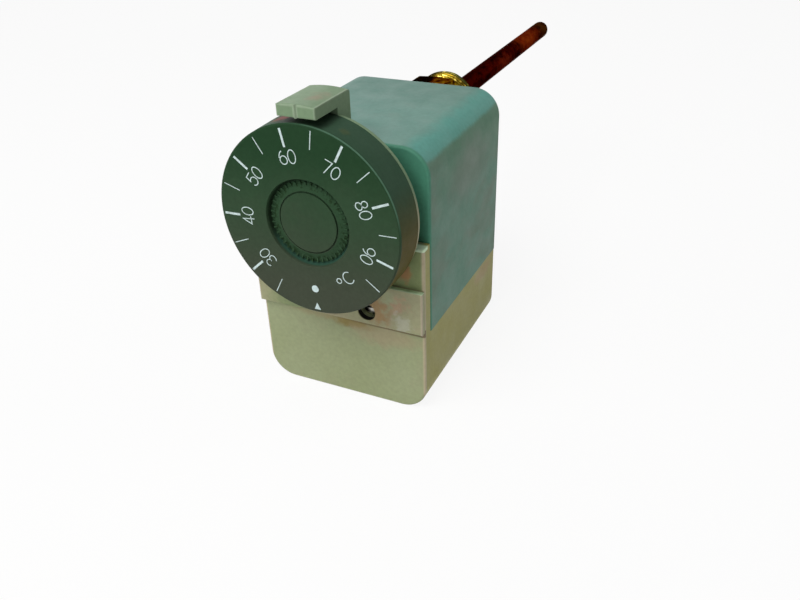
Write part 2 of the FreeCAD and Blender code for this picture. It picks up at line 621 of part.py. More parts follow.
def lever():
    plate = box(-LEVER_HALF, LEVER_HALF, LEVER_FRONT_Y, LEVER_REAR_Y, PLUNGER_Z - LEVER_BELOW_PLUNGER,
                DIAL_Z + LEVER_ABOVE_DIAL)
    seat = rod_y(SEAT_R, LEVER_FRONT_Y - SEAT_HEIGHT, LEVER_FRONT_Y, 0, DIAL_Z)
    body = plate.fuse(seat)
    for side in (-1, 1):
        near_x, far_x = sorted((side * (LEVER_HALF - LEVER_THICK), side * LEVER_HALF))
        body = body.fuse(box(near_x, far_x, LEVER_FRONT_Y, PIN_Y + LEVER_EAR_BEHIND,
                             PIN_Z - LEVER_EAR / 2, PIN_Z + LEVER_EAR / 2))
    body = body.cut(rod_x(PIN_R + RUNNING, -HALF, HALF, PIN_Y, PIN_Z))
    return body.removeSplitter()


def lever_pin():
    reach = PIN_EAR_X + PIN_EAR_THICK + PIN_END
    return rod_x(PIN_R, -reach, reach, PIN_Y, PIN_Z)


def push_rod():
    return rod_y(ROD_R, LEVER_REAR_Y + CONTACT, CAPSULE_Y - CAPSULE_BOSS + ROD_IN_CAPSULE, 0, DIAL_Z)


def capsule():
    mid = (CAPSULE_Y + BRACKET_Y) / 2
    outline = [
        (0, CAPSULE_Y), (CAPSULE_BODY_R - CAPSULE_SLOPE, CAPSULE_Y), (CAPSULE_BODY_R, mid - CAPSULE_RIM / 2),
        (CAPSULE_R, mid - CAPSULE_RIM / 2), (CAPSULE_R, mid + CAPSULE_RIM / 2),
        (CAPSULE_BODY_R, mid + CAPSULE_RIM / 2), (CAPSULE_BODY_R - CAPSULE_SLOPE, BRACKET_Y), (0, BRACKET_Y),
    ]
    body = turned_y(outline, DIAL_Z)
    body = body.fuse(rod_y(CAPSULE_BOSS_R, CAPSULE_Y - CAPSULE_BOSS, CAPSULE_Y, 0, DIAL_Z))
    body = body.fuse(rod_y(STUD_R, BRACKET_Y, STUD_END, 0, DIAL_Z))
    rod_end = CAPSULE_Y - CAPSULE_BOSS + ROD_IN_CAPSULE + SLIP
    body = body.cut(rod_y(ROD_R + RUNNING, CAPSULE_Y - CAPSULE_BOSS - PAST, rod_end, 0, DIAL_Z))
    return body.cut(rod_y(CAPILLARY_R + BRAZE_GAP, STUD_END - CAPILLARY_IN_STUD - SLIP, STUD_END + PAST,
                          0, DIAL_Z))


def capsule_nut():
    body = hex_y(CAPSULE_NUT_FLATS, BRACKET_REAR, BRACKET_REAR + CAPSULE_NUT_THICK, DIAL_Z)
    return body.cut(rod_y(STUD_R + THREAD_FIT, BRACKET_REAR - PAST, STUD_END + PAST, 0, DIAL_Z))


def capsule_bracket():
    ear_out = PIN_EAR_X + PIN_EAR_THICK
    ear_top = PIN_Z + PIN_EAR_HEIGHT / 2
    upright = box(-BRACKET_HALF, BRACKET_HALF, BRACKET_Y, BRACKET_REAR, SHELF_TOP,
                  DIAL_Z + BRACKET_ABOVE_DIAL)
    yoke = box(-ear_out, ear_out, BRACKET_Y, BRACKET_REAR, ear_top - PIN_EAR_HEIGHT, ear_top)
    foot = box(-BRACKET_HALF, BRACKET_HALF, BRACKET_Y, BRACKET_REAR + BRACKET_FOOT,
               SHELF_TOP, SHELF_TOP + BRACKET_SHEET)
    body = upright.fuse([yoke, foot]).removeSplitter()
    body = fold(body, BRACKET_REAR, SHELF_TOP + BRACKET_SHEET, BEND_R)
    body = fold(body, BRACKET_Y, SHELF_TOP, BEND_R)
    for side in (-1, 1):
        near_x, far_x = sorted((side * PIN_EAR_X, side * ear_out))
        body = body.fuse(box(near_x, far_x, PIN_Y - 2 * PIN_R, BRACKET_Y + BRACKET_SHEET / 2,
                             ear_top - PIN_EAR_HEIGHT, ear_top))
    body = body.cut(rod_x(PIN_R + THREAD_FIT, -HALF, HALF, PIN_Y, PIN_Z))
    body = body.cut(rod_y(STUD_R + THREAD_FIT, BRACKET_Y - PAST, BRACKET_REAR + PAST, 0, DIAL_Z))
    for x, y in bracket_screw_places():
        body = body.cut(rod_z(M2_HEAD[2] + THREAD_FIT, SHELF_TOP - PAST,
                              SHELF_TOP + BRACKET_SHEET + PAST, x, y))
    return body.removeSplitter()


def bracket_screw_places():
    x = BRACKET_HALF - BRACKET_SCREW_INSET
    y = BRACKET_REAR + BRACKET_FOOT - BRACKET_SCREW_EDGE
    return [(-x, y), (x, y)]


def chassis():
    half = CHASSIS_HALF
    front = box(-half, half, FLANGE_Y, FLANGE_REAR, SHELF_Z, DIAL_Z + FLANGE_ABOVE_DIAL)
    shelf = box(-half, half, FLANGE_Y, REAR_OUT_Y, SHELF_Z, SHELF_TOP)
    strip = box(-half, half, REAR_IN_Y, REAR_OUT_Y, SHELF_Z, POCKET_Z)
    body = front.fuse([shelf, strip]).removeSplitter()
    body = fold(body, FLANGE_REAR, SHELF_TOP, BEND_R)
    body = fold(body, FLANGE_Y, SHELF_Z, BEND_R + SHEET)
    body = fold(body, REAR_IN_Y, SHELF_TOP, BEND_R)
    slip = COVER_WALL + REAR_SLIP
    rear = rounded_prism(HALF - slip, SEAM_Z + REAR_SLIP, CASE_HEIGHT - slip, 0, TOP_CORNER_R - slip,
                         REAR_IN_Y, REAR_OUT_Y)
    body = body.fuse(rear)
    for side in (-1, 1):
        near_x = side * (SET_NUT_SIDE / 2 + GUIDE_GAP)
        low_x, high_x = sorted((near_x, near_x + side * GUIDE_THICK))
        body = body.fuse(box(low_x, high_x, FLANGE_Y + SHEET / 2, SET_NUT_REAR + GUIDE_BEYOND_NUT,
                             DIAL_Z - GUIDE_HEIGHT / 2, DIAL_Z + GUIDE_HEIGHT / 2))
    reach = TERMINAL_PITCH + TERMINAL_WIDTH / 2
    body = body.cut(box(SWITCH_X - reach - WINDOW_MARGIN, FRONT_SCREW_X - M3_HEAD[0], FLANGE_Y - PAST,
                        FLANGE_REAR + PAST, SHELF_TOP + BEND_R, SWITCH_TOP + WINDOW_MARGIN))
    body = body.cut(rod_y(BUSH_R + THREAD_FIT, FLANGE_Y - PAST, FLANGE_REAR + PAST, 0, DIAL_Z))
    body = body.cut(rod_y(NECK_R + THREAD_FIT, REAR_IN_Y - PAST, REAR_OUT_Y + PAST, 0, POCKET_Z))
    body = body.cut(rod_y(M3_HEAD[2] + THREAD_FIT, FLANGE_Y - PAST, FLANGE_REAR + PAST,
                          FRONT_SCREW_X, FRONT_SCREW_Z))
    for x, y in post_places() + [(EARTH_X, EARTH_Y)]:
        body = body.cut(rod_z(M3_HEAD[2] + THREAD_FIT, SHELF_Z - PAST, SHELF_TOP + PAST, x, y))
    for x, y in bracket_screw_places() + switch_screw_places():
        body = body.cut(rod_z(M2_HEAD[2] + THREAD_FIT, SHELF_Z - PAST, SHELF_TOP + PAST, x, y))
    return body.removeSplitter()


def switch_screw_places():
    y = SWITCH_Y + SWITCH_DEEP / 2
    return [(SWITCH_X + side * SWITCH_HOLE_PITCH / 2, y) for side in (-1, 1)]


def terminal_places():
    z = SHELF_TOP + SWITCH_HIGH / 2
    return [(SWITCH_X + i * TERMINAL_PITCH, z) for i in (-1, 0, 1)]


def switch_body():
    half = SWITCH_LONG / 2
    body = box(SWITCH_X - half, SWITCH_X + half, SWITCH_Y, SWITCH_REAR, SHELF_TOP, SWITCH_TOP)
    body = body.makeFillet(SWITCH_EDGE_R, [e for e in body.Edges
                                           if near(e.BoundBox.ZLength, SWITCH_HIGH)])
    body = body.cut(rod_y(PLUNGER_R + RUNNING, SWITCH_REAR - PLUNGER_BORE, SWITCH_REAR + PAST, 0, PLUNGER_Z))
    for x, y in switch_screw_places():
        body = body.cut(rod_z(M2_HEAD[2] + SWITCH_HOLE_GAP, SHELF_TOP - PAST, SWITCH_TOP + PAST, x, y))
    for x, z in terminal_places():
        body = body.cut(rod_y(M2_HEAD[2] + THREAD_FIT, SWITCH_Y - PAST, SWITCH_Y + TERMINAL_SCREW_DEPTH,
                              x, z))
    return body


def switch_plunger():
    body = rod_y(PLUNGER_R, SWITCH_REAR - PLUNGER_INSIDE, PLUNGER_TIP_Y, 0, PLUNGER_Z)
    return body.makeFillet(PLUNGER_EDGE_R, edges_where(body, lambda p: near(p.y, PLUNGER_TIP_Y)))


def switch_terminals():
    plates = []
    for x, z in terminal_places():
        plate = box(x - TERMINAL_WIDTH / 2, x + TERMINAL_WIDTH / 2, SWITCH_Y - TERMINAL_THICK, SWITCH_Y,
                    z - TERMINAL_HEIGHT / 2, z + TERMINAL_HEIGHT / 2)
        hole = rod_y(M2_HEAD[2] + THREAD_FIT, SWITCH_Y - TERMINAL_THICK - PAST, SWITCH_Y + PAST, x, z)
        plates.append(plate.cut(hole))
    return group(plates)


def terminal_screws():
    depth = TERMINAL_THICK + TERMINAL_SCREW_DEPTH - SLIP
    return group([screw(M2_HEAD, depth, (x, SWITCH_Y - TERMINAL_THICK, z), AXIS_Y)
                  for x, z in terminal_places()])


def switch_screws():
    return group([screw(M2_HEAD, SWITCH_HIGH + SHEET, (x, y, SWITCH_TOP), V(0, 0, -1))
                  for x, y in switch_screw_places()])


def bracket_screws():
    top = SHELF_TOP + BRACKET_SHEET
    return group([screw(M2_HEAD, BRACKET_SHEET + SHEET, (x, y, top), V(0, 0, -1))
                  for x, y in bracket_screw_places()])


def chassis_screws():
    return group([screw(M3_HEAD, POST_SCREW_DEPTH, (x, y, SHELF_TOP), V(0, 0, -1))
                  for x, y in post_places()])


def front_screw():
    length = FLANGE_REAR + FRONT_SCREW_BEYOND - FRONT_SCREW_SEAT_Y
    return screw(M3_HEAD, length, (FRONT_SCREW_X, FRONT_SCREW_SEAT_Y, FRONT_SCREW_Z), AXIS_Y)


def earth_clamp():
    half = EARTH_SIDE / 2
    plate = box(EARTH_X - half, EARTH_X + half, EARTH_Y - half, EARTH_Y + half,
                SHELF_TOP, SHELF_TOP + EARTH_THICK)
    return plate.cut(rod_z(M3_HEAD[2] + THREAD_FIT, SHELF_TOP - PAST, SHELF_TOP + EARTH_THICK + PAST,
                          EARTH_X, EARTH_Y))


def earth_screw():
    top = SHELF_TOP + EARTH_THICK
    return screw(M3_HEAD, EARTH_THICK + SHEET + EARTH_DEPTH, (EARTH_X, EARTH_Y, top), V(0, 0, -1))


def brass_fitting():
    hex_front = SHOULDER_Y - HEX_LENGTH
    body = rod_y(NECK_R, NECK_FRONT_Y, REAR_OUT_Y, 0, POCKET_Z)
    body = body.fuse(rod_y(FITTING_COLLAR_R, REAR_OUT_Y, hex_front, 0, POCKET_Z))
    nut = hex_y(HEX_FLATS, hex_front, SHOULDER_Y, POCKET_Z)
    beyond = HEX_FLATS / math.sqrt(3) + HEX_CHAMFER
    rounding = turned_y([(0, hex_front), (THREAD_R - HEX_CHAMFER, hex_front),
                         (beyond, hex_front + 3 * HEX_CHAMFER), (beyond, SHOULDER_Y - 2 * HEX_CHAMFER),
                         (THREAD_R + HEX_CHAMFER, SHOULDER_Y), (0, SHOULDER_Y)], POCKET_Z)
    body = body.fuse(nut.common(rounding))
    thread = turned_y([(0, SHOULDER_Y), (THREAD_R, SHOULDER_Y), (THREAD_R, THREAD_END_Y - THREAD_CHAMFER),
                       (THREAD_R - THREAD_CHAMFER, THREAD_END_Y), (POCKET_R + 2 * BRAZE_RING, THREAD_END_Y),
                       (POCKET_R + BRAZE_RING, THREAD_END_Y + BRAZE_RING), (0, THREAD_END_Y + BRAZE_RING)],
                      POCKET_Z)
    body = body.fuse(thread)
    bore = rod_y(POCKET_R + BRAZE_GAP, NECK_FRONT_Y - PAST, THREAD_END_Y + BRAZE_RING + PAST, 0, POCKET_Z)
    return body.cut(bore).removeSplitter()


def fitting_nut():
    body = hex_y(FITTING_NUT_FLATS, REAR_IN_Y - FITTING_NUT_THICK, REAR_IN_Y, POCKET_Z)
    return body.cut(rod_y(NECK_R + THREAD_FIT, NECK_FRONT_Y, REAR_OUT_Y, 0, POCKET_Z))


def domed_rod(radius, start, tip):
    # Round bar along the pocket's axis with a half-round end at its tip
    centre = tip - radius
    body = rod_y(radius, start, centre, 0, POCKET_Z)
    return body.fuse(Part.makeSphere(radius, V(0, centre, POCKET_Z))).removeSplitter()


def copper_pocket():
    inner = domed_rod(POCKET_R - POCKET_WALL, REAR_IN_Y - PAST, POCKET_TIP_Y - POCKET_WALL)
    return domed_rod(POCKET_R, REAR_IN_Y, POCKET_TIP_Y).cut(inner)


def sensing_bulb():
    body = domed_rod(BULB_R, BULB_START_Y + BULB_NECK, BULB_TIP_Y)
    neck = turned_y([(0, BULB_START_Y), (BULB_NECK_R, BULB_START_Y),
                     (BULB_R, BULB_START_Y + BULB_NECK), (0, BULB_START_Y + BULB_NECK)], POCKET_Z)
    return body.fuse(neck).removeSplitter()


def rounded_path(points, radii):
    # Straight runs between the points, joined at the inner points by tangent arcs
    edges = []
    start = points[0]
    for i, radius in enumerate(radii):
        corner = points[i + 1]
        back = (points[i] - corner).normalize()
        ahead = (points[i + 2] - corner).normalize()
        half_turn = back.getAngle(ahead) / 2
        reach = radius / math.tan(half_turn)
        first = corner + back * reach
        last = corner + ahead * reach
        middle_way = (back + ahead).normalize()
        middle = corner + middle_way * (radius / math.sin(half_turn) - radius)
        edges.append(Part.LineSegment(start, first).toShape())
        edges.append(Part.Arc(first, middle, last).toShape())
        start = last
    edges.append(Part.LineSegment(start, points[-1]).toShape())
    return Part.Wire(edges)


def capillary():
    low_z = DIAL_Z - LOOP_DROP
    points = [
        V(0, STUD_END - CAPILLARY_IN_STUD, DIAL_Z), V(0, CAPILLARY_Y, DIAL_Z), V(0, CAPILLARY_Y, low_z),
        V(-LOOP_WIDTH, CAPILLARY_Y, low_z), V(-LOOP_WIDTH, CAPILLARY_Y, POCKET_Z),
        V(0, CAPILLARY_Y, POCKET_Z), V(0, BULB_START_Y, POCKET_Z),
    ]
    bends = [END_BEND_R, LOOP_BEND_R, LOOP_BEND_R, LOOP_BEND_R, END_BEND_R]
    path = rounded_path(points, bends)
    ring = Part.Wire(Part.makeCircle(CAPILLARY_R, points[0], AXIS_Y))
    tube = path.makePipeShell([ring], True, False)
    section = math.pi * CAPILLARY_R ** 2
    print("capillary length", round(path.Length, 2), "volume share",
          round(tube.Volume / (section * path.Length), 4))
    return tube


def cable_grommet():
    low = GROMMET_SUNK
    top = BASE_FLOOR + GROMMET_FLANGE
    body = rod_z(ENTRY_RECESS_R - SLIP, low, ENTRY_RECESS, 0, CABLE_Y)
    body = body.fuse(rod_z(ENTRY_R - THREAD_FIT, low, top, 0, CABLE_Y))
    body = body.fuse(rod_z(ENTRY_R + GROMMET_FLANGE, BASE_FLOOR, top, 0, CABLE_Y))
    return body.cut(rod_z(CABLE_R, -PAST, top + PAST, 0, CABLE_Y))


def cable_clamp():
    bar = box(-CLAMP_HALF, CLAMP_HALF, CLAMP_Y, CLAMP_Y + CLAMP_THICK,
              CLAMP_Z - CLAMP_HEIGHT / 2, CLAMP_Z + CLAMP_HEIGHT / 2)
    bar = bar.makeFillet(CLAMP_EDGE_R, [e for e in bar.Edges
                                         if near(e.BoundBox.YLength, CLAMP_THICK)])
    for x in (-CLAMP_POST_X, CLAMP_POST_X):
        bar = bar.cut(rod_y(M3_HEAD[2] + SCREW_CLEAR, CLAMP_Y - PAST, CLAMP_Y + CLAMP_THICK + PAST,
                            x, CLAMP_Z))
    return bar


def clamp_screws():
    return group([screw(M3_HEAD, CLAMP_SCREW_DEPTH, (x, CLAMP_Y + CLAMP_THICK, CLAMP_Z), V(0, -1, 0))
                  for x in (-CLAMP_POST_X, CLAMP_POST_X)])


PIECES = [
    cover, base_housing, front_plate, front_screw, dial_knob, knob_clip, spindle, spindle_bush, bush_nut,
    setpoint_nut, range_spring, lever, lever_pin, push_rod, capsule, capsule_nut, capsule_bracket,
    bracket_screws, chassis, chassis_screws, switch_body, switch_plunger, switch_terminals,
    terminal_screws, switch_screws, brass_fitting, fitting_nut, copper_pocket, sensing_bulb, capillary,
    earth_clamp, earth_screw, cable_grommet, cable_clamp, clamp_screws,
]


def main():
    os.makedirs("parts", exist_ok=True)
    for piece in PIECES:
        shape = piece()
        shape.translate(V(0, -SHOULDER_Y, -POCKET_Z))
        shape.exportStep("parts/" + piece.__name__ + ".step")


main()
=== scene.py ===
import json
import math

import bmesh
import bpy
from mathutils import Matrix, Vector


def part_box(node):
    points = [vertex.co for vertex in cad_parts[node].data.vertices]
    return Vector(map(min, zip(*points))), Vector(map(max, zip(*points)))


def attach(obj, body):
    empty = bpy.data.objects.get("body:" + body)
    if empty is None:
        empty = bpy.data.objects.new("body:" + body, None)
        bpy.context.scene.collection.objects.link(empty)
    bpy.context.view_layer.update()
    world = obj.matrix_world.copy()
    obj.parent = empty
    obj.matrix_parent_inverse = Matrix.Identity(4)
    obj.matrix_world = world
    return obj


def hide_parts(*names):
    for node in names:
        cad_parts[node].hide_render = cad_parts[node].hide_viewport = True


# Capillary thermostat. Metres in the row frame: the origin is on the pocket's axis at the rear
# shoulder of the fitting's hexagon, +Y runs along the pocket and +Z is up. Sizes below are in
# millimetres, but those of the floor, the lights and the camera are in metres.
MM = 0.001

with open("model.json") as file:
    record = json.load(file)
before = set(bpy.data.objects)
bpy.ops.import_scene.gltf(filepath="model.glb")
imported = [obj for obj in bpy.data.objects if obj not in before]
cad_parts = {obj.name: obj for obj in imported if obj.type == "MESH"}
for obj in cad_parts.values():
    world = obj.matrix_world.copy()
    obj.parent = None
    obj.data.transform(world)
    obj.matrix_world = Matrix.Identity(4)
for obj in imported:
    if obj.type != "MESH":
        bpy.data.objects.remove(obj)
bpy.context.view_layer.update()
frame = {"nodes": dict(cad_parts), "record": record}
nodes = frame["nodes"]


# Sizes that the CAD nodes give
def edges(node):
    low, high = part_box(node)
    return low / MM, high / MM


dial_low, dial_high = edges("dial_knob")
base_low, base_high = edges("base_housing")
plate_low, plate_high = edges("front_plate")
screw_low, screw_high = edges("front_screw")
cover_low, cover_high = edges("cover")
fitting_low = edges("brass_fitting")[0]
DIAL_FACE_Y = dial_low.y
DIAL_Z = (dial_low.z + dial_high.z) / 2
SCREW = (screw_low + screw_high) / 2


# Shader node helpers
def new_material(name):
    material = bpy.data.materials.new(name)
    material.use_nodes = True
    tree = material.node_tree
    return material, tree, tree.nodes["Principled BSDF"]


def add(tree, kind, **inputs):
    node = tree.nodes.new(kind)
    for key, value in inputs.items():
        node.inputs[key.replace("_", " ")].default_value = value
    return node


def coords(tree, scale=(1, 1, 1)):
    # Object coordinates in millimetres times the scale
    place = tree.nodes.new("ShaderNodeTexCoord")
    mapping = tree.nodes.new("ShaderNodeMapping")
    mapping.inputs["Scale"].default_value = [s / MM for s in scale]
    tree.links.new(place.outputs["Object"], mapping.inputs["Vector"])
    return mapping.outputs["Vector"]


def noise(tree, vector, size, detail=3.0, rough=0.55):
    # Noise whose lumps are about this many millimetres across
    node = add(tree, "ShaderNodeTexNoise", Scale=1.0 / size, Detail=detail, Roughness=rough)
    tree.links.new(vector, node.inputs["Vector"])
    return node.outputs["Fac"]


def as_colour(value):
    if isinstance(value, (int, float)):
        return (value, value, value, 1)
    return (*value, 1)


def ramp(tree, fac, stops):
    # Two stops, each a position and the value or colour there
    node = tree.nodes.new("ShaderNodeValToRGB")
    for element, (at, value) in zip(node.color_ramp.elements, stops):
        element.position, element.color = at, as_colour(value)
    tree.links.new(fac, node.inputs["Fac"])
    return node.outputs["Color"]


def mix(tree, fac, a, b, blend="MIX"):
    node = tree.nodes.new("ShaderNodeMix")
    node.data_type = "RGBA"
    node.blend_type = blend
    for key, value in (("Factor", fac), ("A", a), ("B", b)):
        socket = node.inputs[key]
        if isinstance(value, bpy.types.NodeSocket):
            tree.links.new(value, socket)
        elif socket.type == "RGBA":
            socket.default_value = as_colour(value)
        else:
            socket.default_value = value
    return node.outputs["Result"]


def math_node(tree, operation, *values):
    node = tree.nodes.new("ShaderNodeMath")
    node.operation = operation
    for socket, value in zip(node.inputs, values):
        if isinstance(value, bpy.types.NodeSocket):
            tree.links.new(value, socket)
        else:
            socket.default_value = value
    return node.outputs["Value"]


def vector_node(tree, operation, vector, other=None):
    node = tree.nodes.new("ShaderNodeVectorMath")
    node.operation = operation
    tree.links.new(vector, node.inputs[0])
    if other is not None:
        node.inputs[1].default_value = other
    return node.outputs["Value" if operation == "LENGTH" else "Vector"]


def bump(tree, shader, height, strength):
    node = add(tree, "ShaderNodeBump", Distance=BUMP_DEPTH * MM, Strength=strength)
    tree.links.new(height, node.inputs["Height"])
    tree.links.new(node.outputs["Normal"], shader.inputs["Normal"])


# Mask helpers. Each gives 0 to 1 over the object.
SPOT_CORE = 0.25  # A spot is full within this share of its reach


def between(tree, value, start, full):
    # 0 up to start and 1 from full on, with a smooth step; full may be the lower one
    node = tree.nodes.new("ShaderNodeMapRange")
    node.interpolation_type = "SMOOTHSTEP"
    node.inputs["From Min"].default_value = start
    node.inputs["From Max"].default_value = full
    tree.links.new(value, node.inputs["Value"])
    return node.outputs["Result"]


def wavy(tree, place, value, sway, size):
    # The value moved to and fro by up to the sway
    if not sway:
        return value
    centred = math_node(tree, "SUBTRACT", noise(tree, place, size, detail=4, rough=0.6), 0.5)
    return math_node(tree, "ADD", value, math_node(tree, "MULTIPLY", centred, sway * 2))


def product(tree, *factors, share=None):
    if share is not None:
        factors += (share,)
    result = factors[0]
    for factor in factors[1:]:
        result = math_node(tree, "MULTIPLY", result, factor)
    return result


def past(tree, place, axis, start, full, sway=0.0, size=9.0, both_sides=False):
    # 0 before start, 1 after full along this axis, with a wavy edge where there is a sway
    split = tree.nodes.new("ShaderNodeSeparateXYZ")
    tree.links.new(place, split.inputs["Vector"])
    value = split.outputs[axis]
    if both_sides:
        value = math_node(tree, "ABSOLUTE", value)
    return between(tree, wavy(tree, place, value, sway, size), start, full)


def around(tree, place, x, z, start, full):
    # 0 at the start distance from this axis along Y, 1 at the full distance
    moved = vector_node(tree, "SUBTRACT", place, (x, 0, z))
    flat = vector_node(tree, "MULTIPLY", moved, (1, 0, 1))
    return between(tree, vector_node(tree, "LENGTH", flat), start, full)


def spot(tree, place, centre, reach, sway, size, stretch):
    # 1 near the centre, 0 from this far out, with a ragged edge
    moved = vector_node(tree, "SUBTRACT", place, centre)
    sized = vector_node(tree, "DIVIDE", moved, stretch)
    away = wavy(tree, place, vector_node(tree, "LENGTH", sized), sway, size)
    return between(tree, away, reach, reach * SPOT_CORE)


def blotch(centre, reach, share, sway=3.0, size=5.0, stretch=(1, 1, 1)):
    def where(tree, place):
        return product(tree, spot(tree, place, centre, reach, sway, size, stretch), share=share)
    return where


# Places that some tints are tied to. The masks below add to each of them where their tint starts
# and where it is full.
SIDE_X = cover_high.x
COVER_TOP_Z = cover_high.z
COVER_FRONT_Y = cover_low.y
WALL_FRONT_Y = -73.35
WALL_SIDE_X = base_high.x
WALL_TOP_Z = base_high.z
BAND_FRONT_Y = -75.2
BAND_SIDE_X = plate_high.x
BAND_TOP_Z = -25.7
BAND_LOW_Z = plate_low.z
SCREW_HOLE_R = 3.0
TAB_TOP_Z = plate_high.z
TAB_FRONT_Y = plate_low.y
TAB_HALF = 5.4
DIAL_R = dial_high.x
RECESS_R = 12.2


# Masks on the cover and the lower housing
def sides(tree, place):
    return product(tree, past(tree, place, "X", SIDE_X - 2.5, SIDE_X - 0.6, both_sides=True),
                   past(tree, place, "Y", WALL_FRONT_Y + 0.5, WALL_FRONT_Y + 1.3))


# Painted shadow of the dial on the cover's front face, darker and more teal
def cover_front(tree, place):
    return past(tree, place, "Y", COVER_FRONT_Y + 1.6, COVER_FRONT_Y + 0.4)


def upper_rear(tree, place):
    return product(tree, sides(tree, place), past(tree, place, "Z", -10, 2, sway=5),
                   past(tree, place, "Y", -75, -50, sway=6), share=0.85)


def top_rear(tree, place):
    return product(tree, past(tree, place, "Z", COVER_TOP_Z - 3, COVER_TOP_Z - 1.5),
                   past(tree, place, "Y", -45, -22, sway=8, size=12))


# Painted highlight along the cover's rounded top right edge
def cover_corner(tree, place):
    return product(tree, past(tree, place, "X", SIDE_X - 9.0, SIDE_X - 4.0, sway=3.0),
                   past(tree, place, "X", SIDE_X - 0.7, SIDE_X - 1.5, sway=0.5),
                   past(tree, place, "Z", COVER_TOP_Z - 6.5, COVER_TOP_Z - 4.5), share=0.8)


def side_patches(tree, place):
    lumps = noise(tree, coords(tree, (1, 0.8, 1.6)), 26, detail=4)
    return product(tree, sides(tree, place), between(tree, lumps, 0.42, 0.60))


# Painted highlights on the lower housing's rounded front corners, on both sides
def front_edges(tree, place):
    return product(tree, past(tree, place, "X", WALL_SIDE_X - 0.9, WALL_SIDE_X - 0.45,
                              both_sides=True),
                   past(tree, place, "Y", WALL_FRONT_Y + 1.0, WALL_FRONT_Y + 0.6), share=0.8)


def band_seam(tree, place):
    # A painted shadow line just below the band's lower edge
    return product(tree, past(tree, place, "Z", BAND_LOW_Z - 1.9, BAND_LOW_Z - 1.5,
                              sway=0.2, size=4),
                   past(tree, place, "Z", BAND_LOW_Z + 0.9, BAND_LOW_Z + 0.5),
                   past(tree, place, "Y", WALL_FRONT_Y + 0.9, WALL_FRONT_Y + 0.5),
                   past(tree, place, "X", -8.0, 16.0), share=0.7)


# Painted shadow of the dial on the front wall above the band, except at its right edge
def wall_above_band(tree, place):
    return product(tree, past(tree, place, "Z", BAND_TOP_Z - 1, BAND_TOP_Z + 1),
                   past(tree, place, "Y", WALL_FRONT_Y + 0.6, WALL_FRONT_Y + 0.2),
                   past(tree, place, "X", WALL_SIDE_X - 0.6, WALL_SIDE_X - 1.2))


# Painted highlight on the front wall's top edge at its right end
def wall_top(tree, place):
    return product(tree, past(tree, place, "Z", WALL_TOP_Z - 1.1, WALL_TOP_Z - 0.8),
                   past(tree, place, "Y", WALL_FRONT_Y + 3.0, WALL_FRONT_Y + 2.0),
                   past(tree, place, "X", 18.0, 21.0))


# Masks on the front plate
def plate_above(tree, place):
    return past(tree, place, "Z", -4.0, 6.0)


# Painted shade in the screw's hole, near black
def screw_hole(tree, place):
    return product(tree, around(tree, place, SCREW.x, SCREW.z,
                                SCREW_HOLE_R + 0.3, SCREW_HOLE_R + 0.1),
                   past(tree, place, "Y", BAND_FRONT_Y + 0.1, BAND_FRONT_Y + 0.5))


# Painted highlights on the band's rounded side edges, at its front
def band_edges(tree, place):
    front = past(tree, place, "Y", BAND_FRONT_Y + 0.9, BAND_FRONT_Y + 0.5)
    side = product(tree, past(tree, place, "X", BAND_SIDE_X - 0.6, BAND_SIDE_X - 0.3,
                              both_sides=True),
                   past(tree, place, "Z", BAND_TOP_Z + 0.4, BAND_TOP_Z))
    return product(tree, front, side, share=0.8)


# Painted light on the band's top face in front of the wall
def band_top(tree, place):
    return product(tree, past(tree, place, "Z", BAND_TOP_Z - 0.35, BAND_TOP_Z - 0.1),
                   past(tree, place, "Z", BAND_TOP_Z + 0.5, BAND_TOP_Z + 0.3),
                   past(tree, place, "Y", WALL_FRONT_Y - 0.3, WALL_FRONT_Y - 0.6))


def tab_edges(tree, place):
    # Painted highlights on the tab's edges and on the ridge down the middle of its front
    front = past(tree, place, "Y", TAB_FRONT_Y + 0.7, TAB_FRONT_Y + 0.3)
    side = past(tree, place, "X", TAB_HALF - 0.6, TAB_HALF - 0.25, both_sides=True)
    top = past(tree, place, "Z", TAB_TOP_Z - 0.9, TAB_TOP_Z - 0.5)
    ridge = past(tree, place, "X", 0.9, 0.5, both_sides=True)
    upper = product(tree, top, math_node(tree, "MAXIMUM", front, side))
    ahead = product(tree, front, math_node(tree, "MAXIMUM", side, ridge))
    return product(tree, math_node(tree, "MAXIMUM", upper, ahead), share=0.75)


# Masks on the dial
def dial_low_part(tree, place):
    return past(tree, place, "Z", DIAL_Z + 6, DIAL_Z - 22, sway=3.0)


def dial_high_part(tree, place):
    return past(tree, place, "Z", DIAL_Z + 3, DIAL_Z + 20, sway=3.0)


def dial_skirt(tree, place):
    return product(tree, past(tree, place, "Y", DIAL_FACE_Y + 0.4, DIAL_FACE_Y + 0.9),
                   around(tree, place, 0, DIAL_Z, RECESS_R + 2, RECESS_R + 4))


# Painted reflection of the brown lower housing on the lower part of the skirt
def dial_skirt_low(tree, place):
    return product(tree, dial_skirt(tree, place),
                   past(tree, place, "Z", DIAL_Z + 12, DIAL_Z - 4, sway=3.0), share=0.9)


# Painted highlight on the dial's rounded front edge, at the upper right only
def dial_edge(tree, place):
    return product(tree, around(tree, place, 0, DIAL_Z, DIAL_R - 0.50, DIAL_R - 0.36),
                   past(tree, place, "Y", DIAL_FACE_Y + 0.6, DIAL_FACE_Y + 0.4),
                   past(tree, place, "X", -8.0, 14.0),
                   past(tree, place, "Z", DIAL_Z, DIAL_Z + 9), share=0.75)


def under_tab(tree, place):
    # Painted shadow of the tab on the skirt, below the tab when the dial is at rest
    return product(tree, dial_skirt(tree, place),
                   past(tree, place, "Z", DIAL_Z + 21.8, DIAL_Z + 23.0),
                   past(tree, place, "X", -8.3, -6.0, sway=0.8, size=3),
                   past(tree, place, "X", 7.4, 5.6, sway=0.8, size=3), share=0.65)


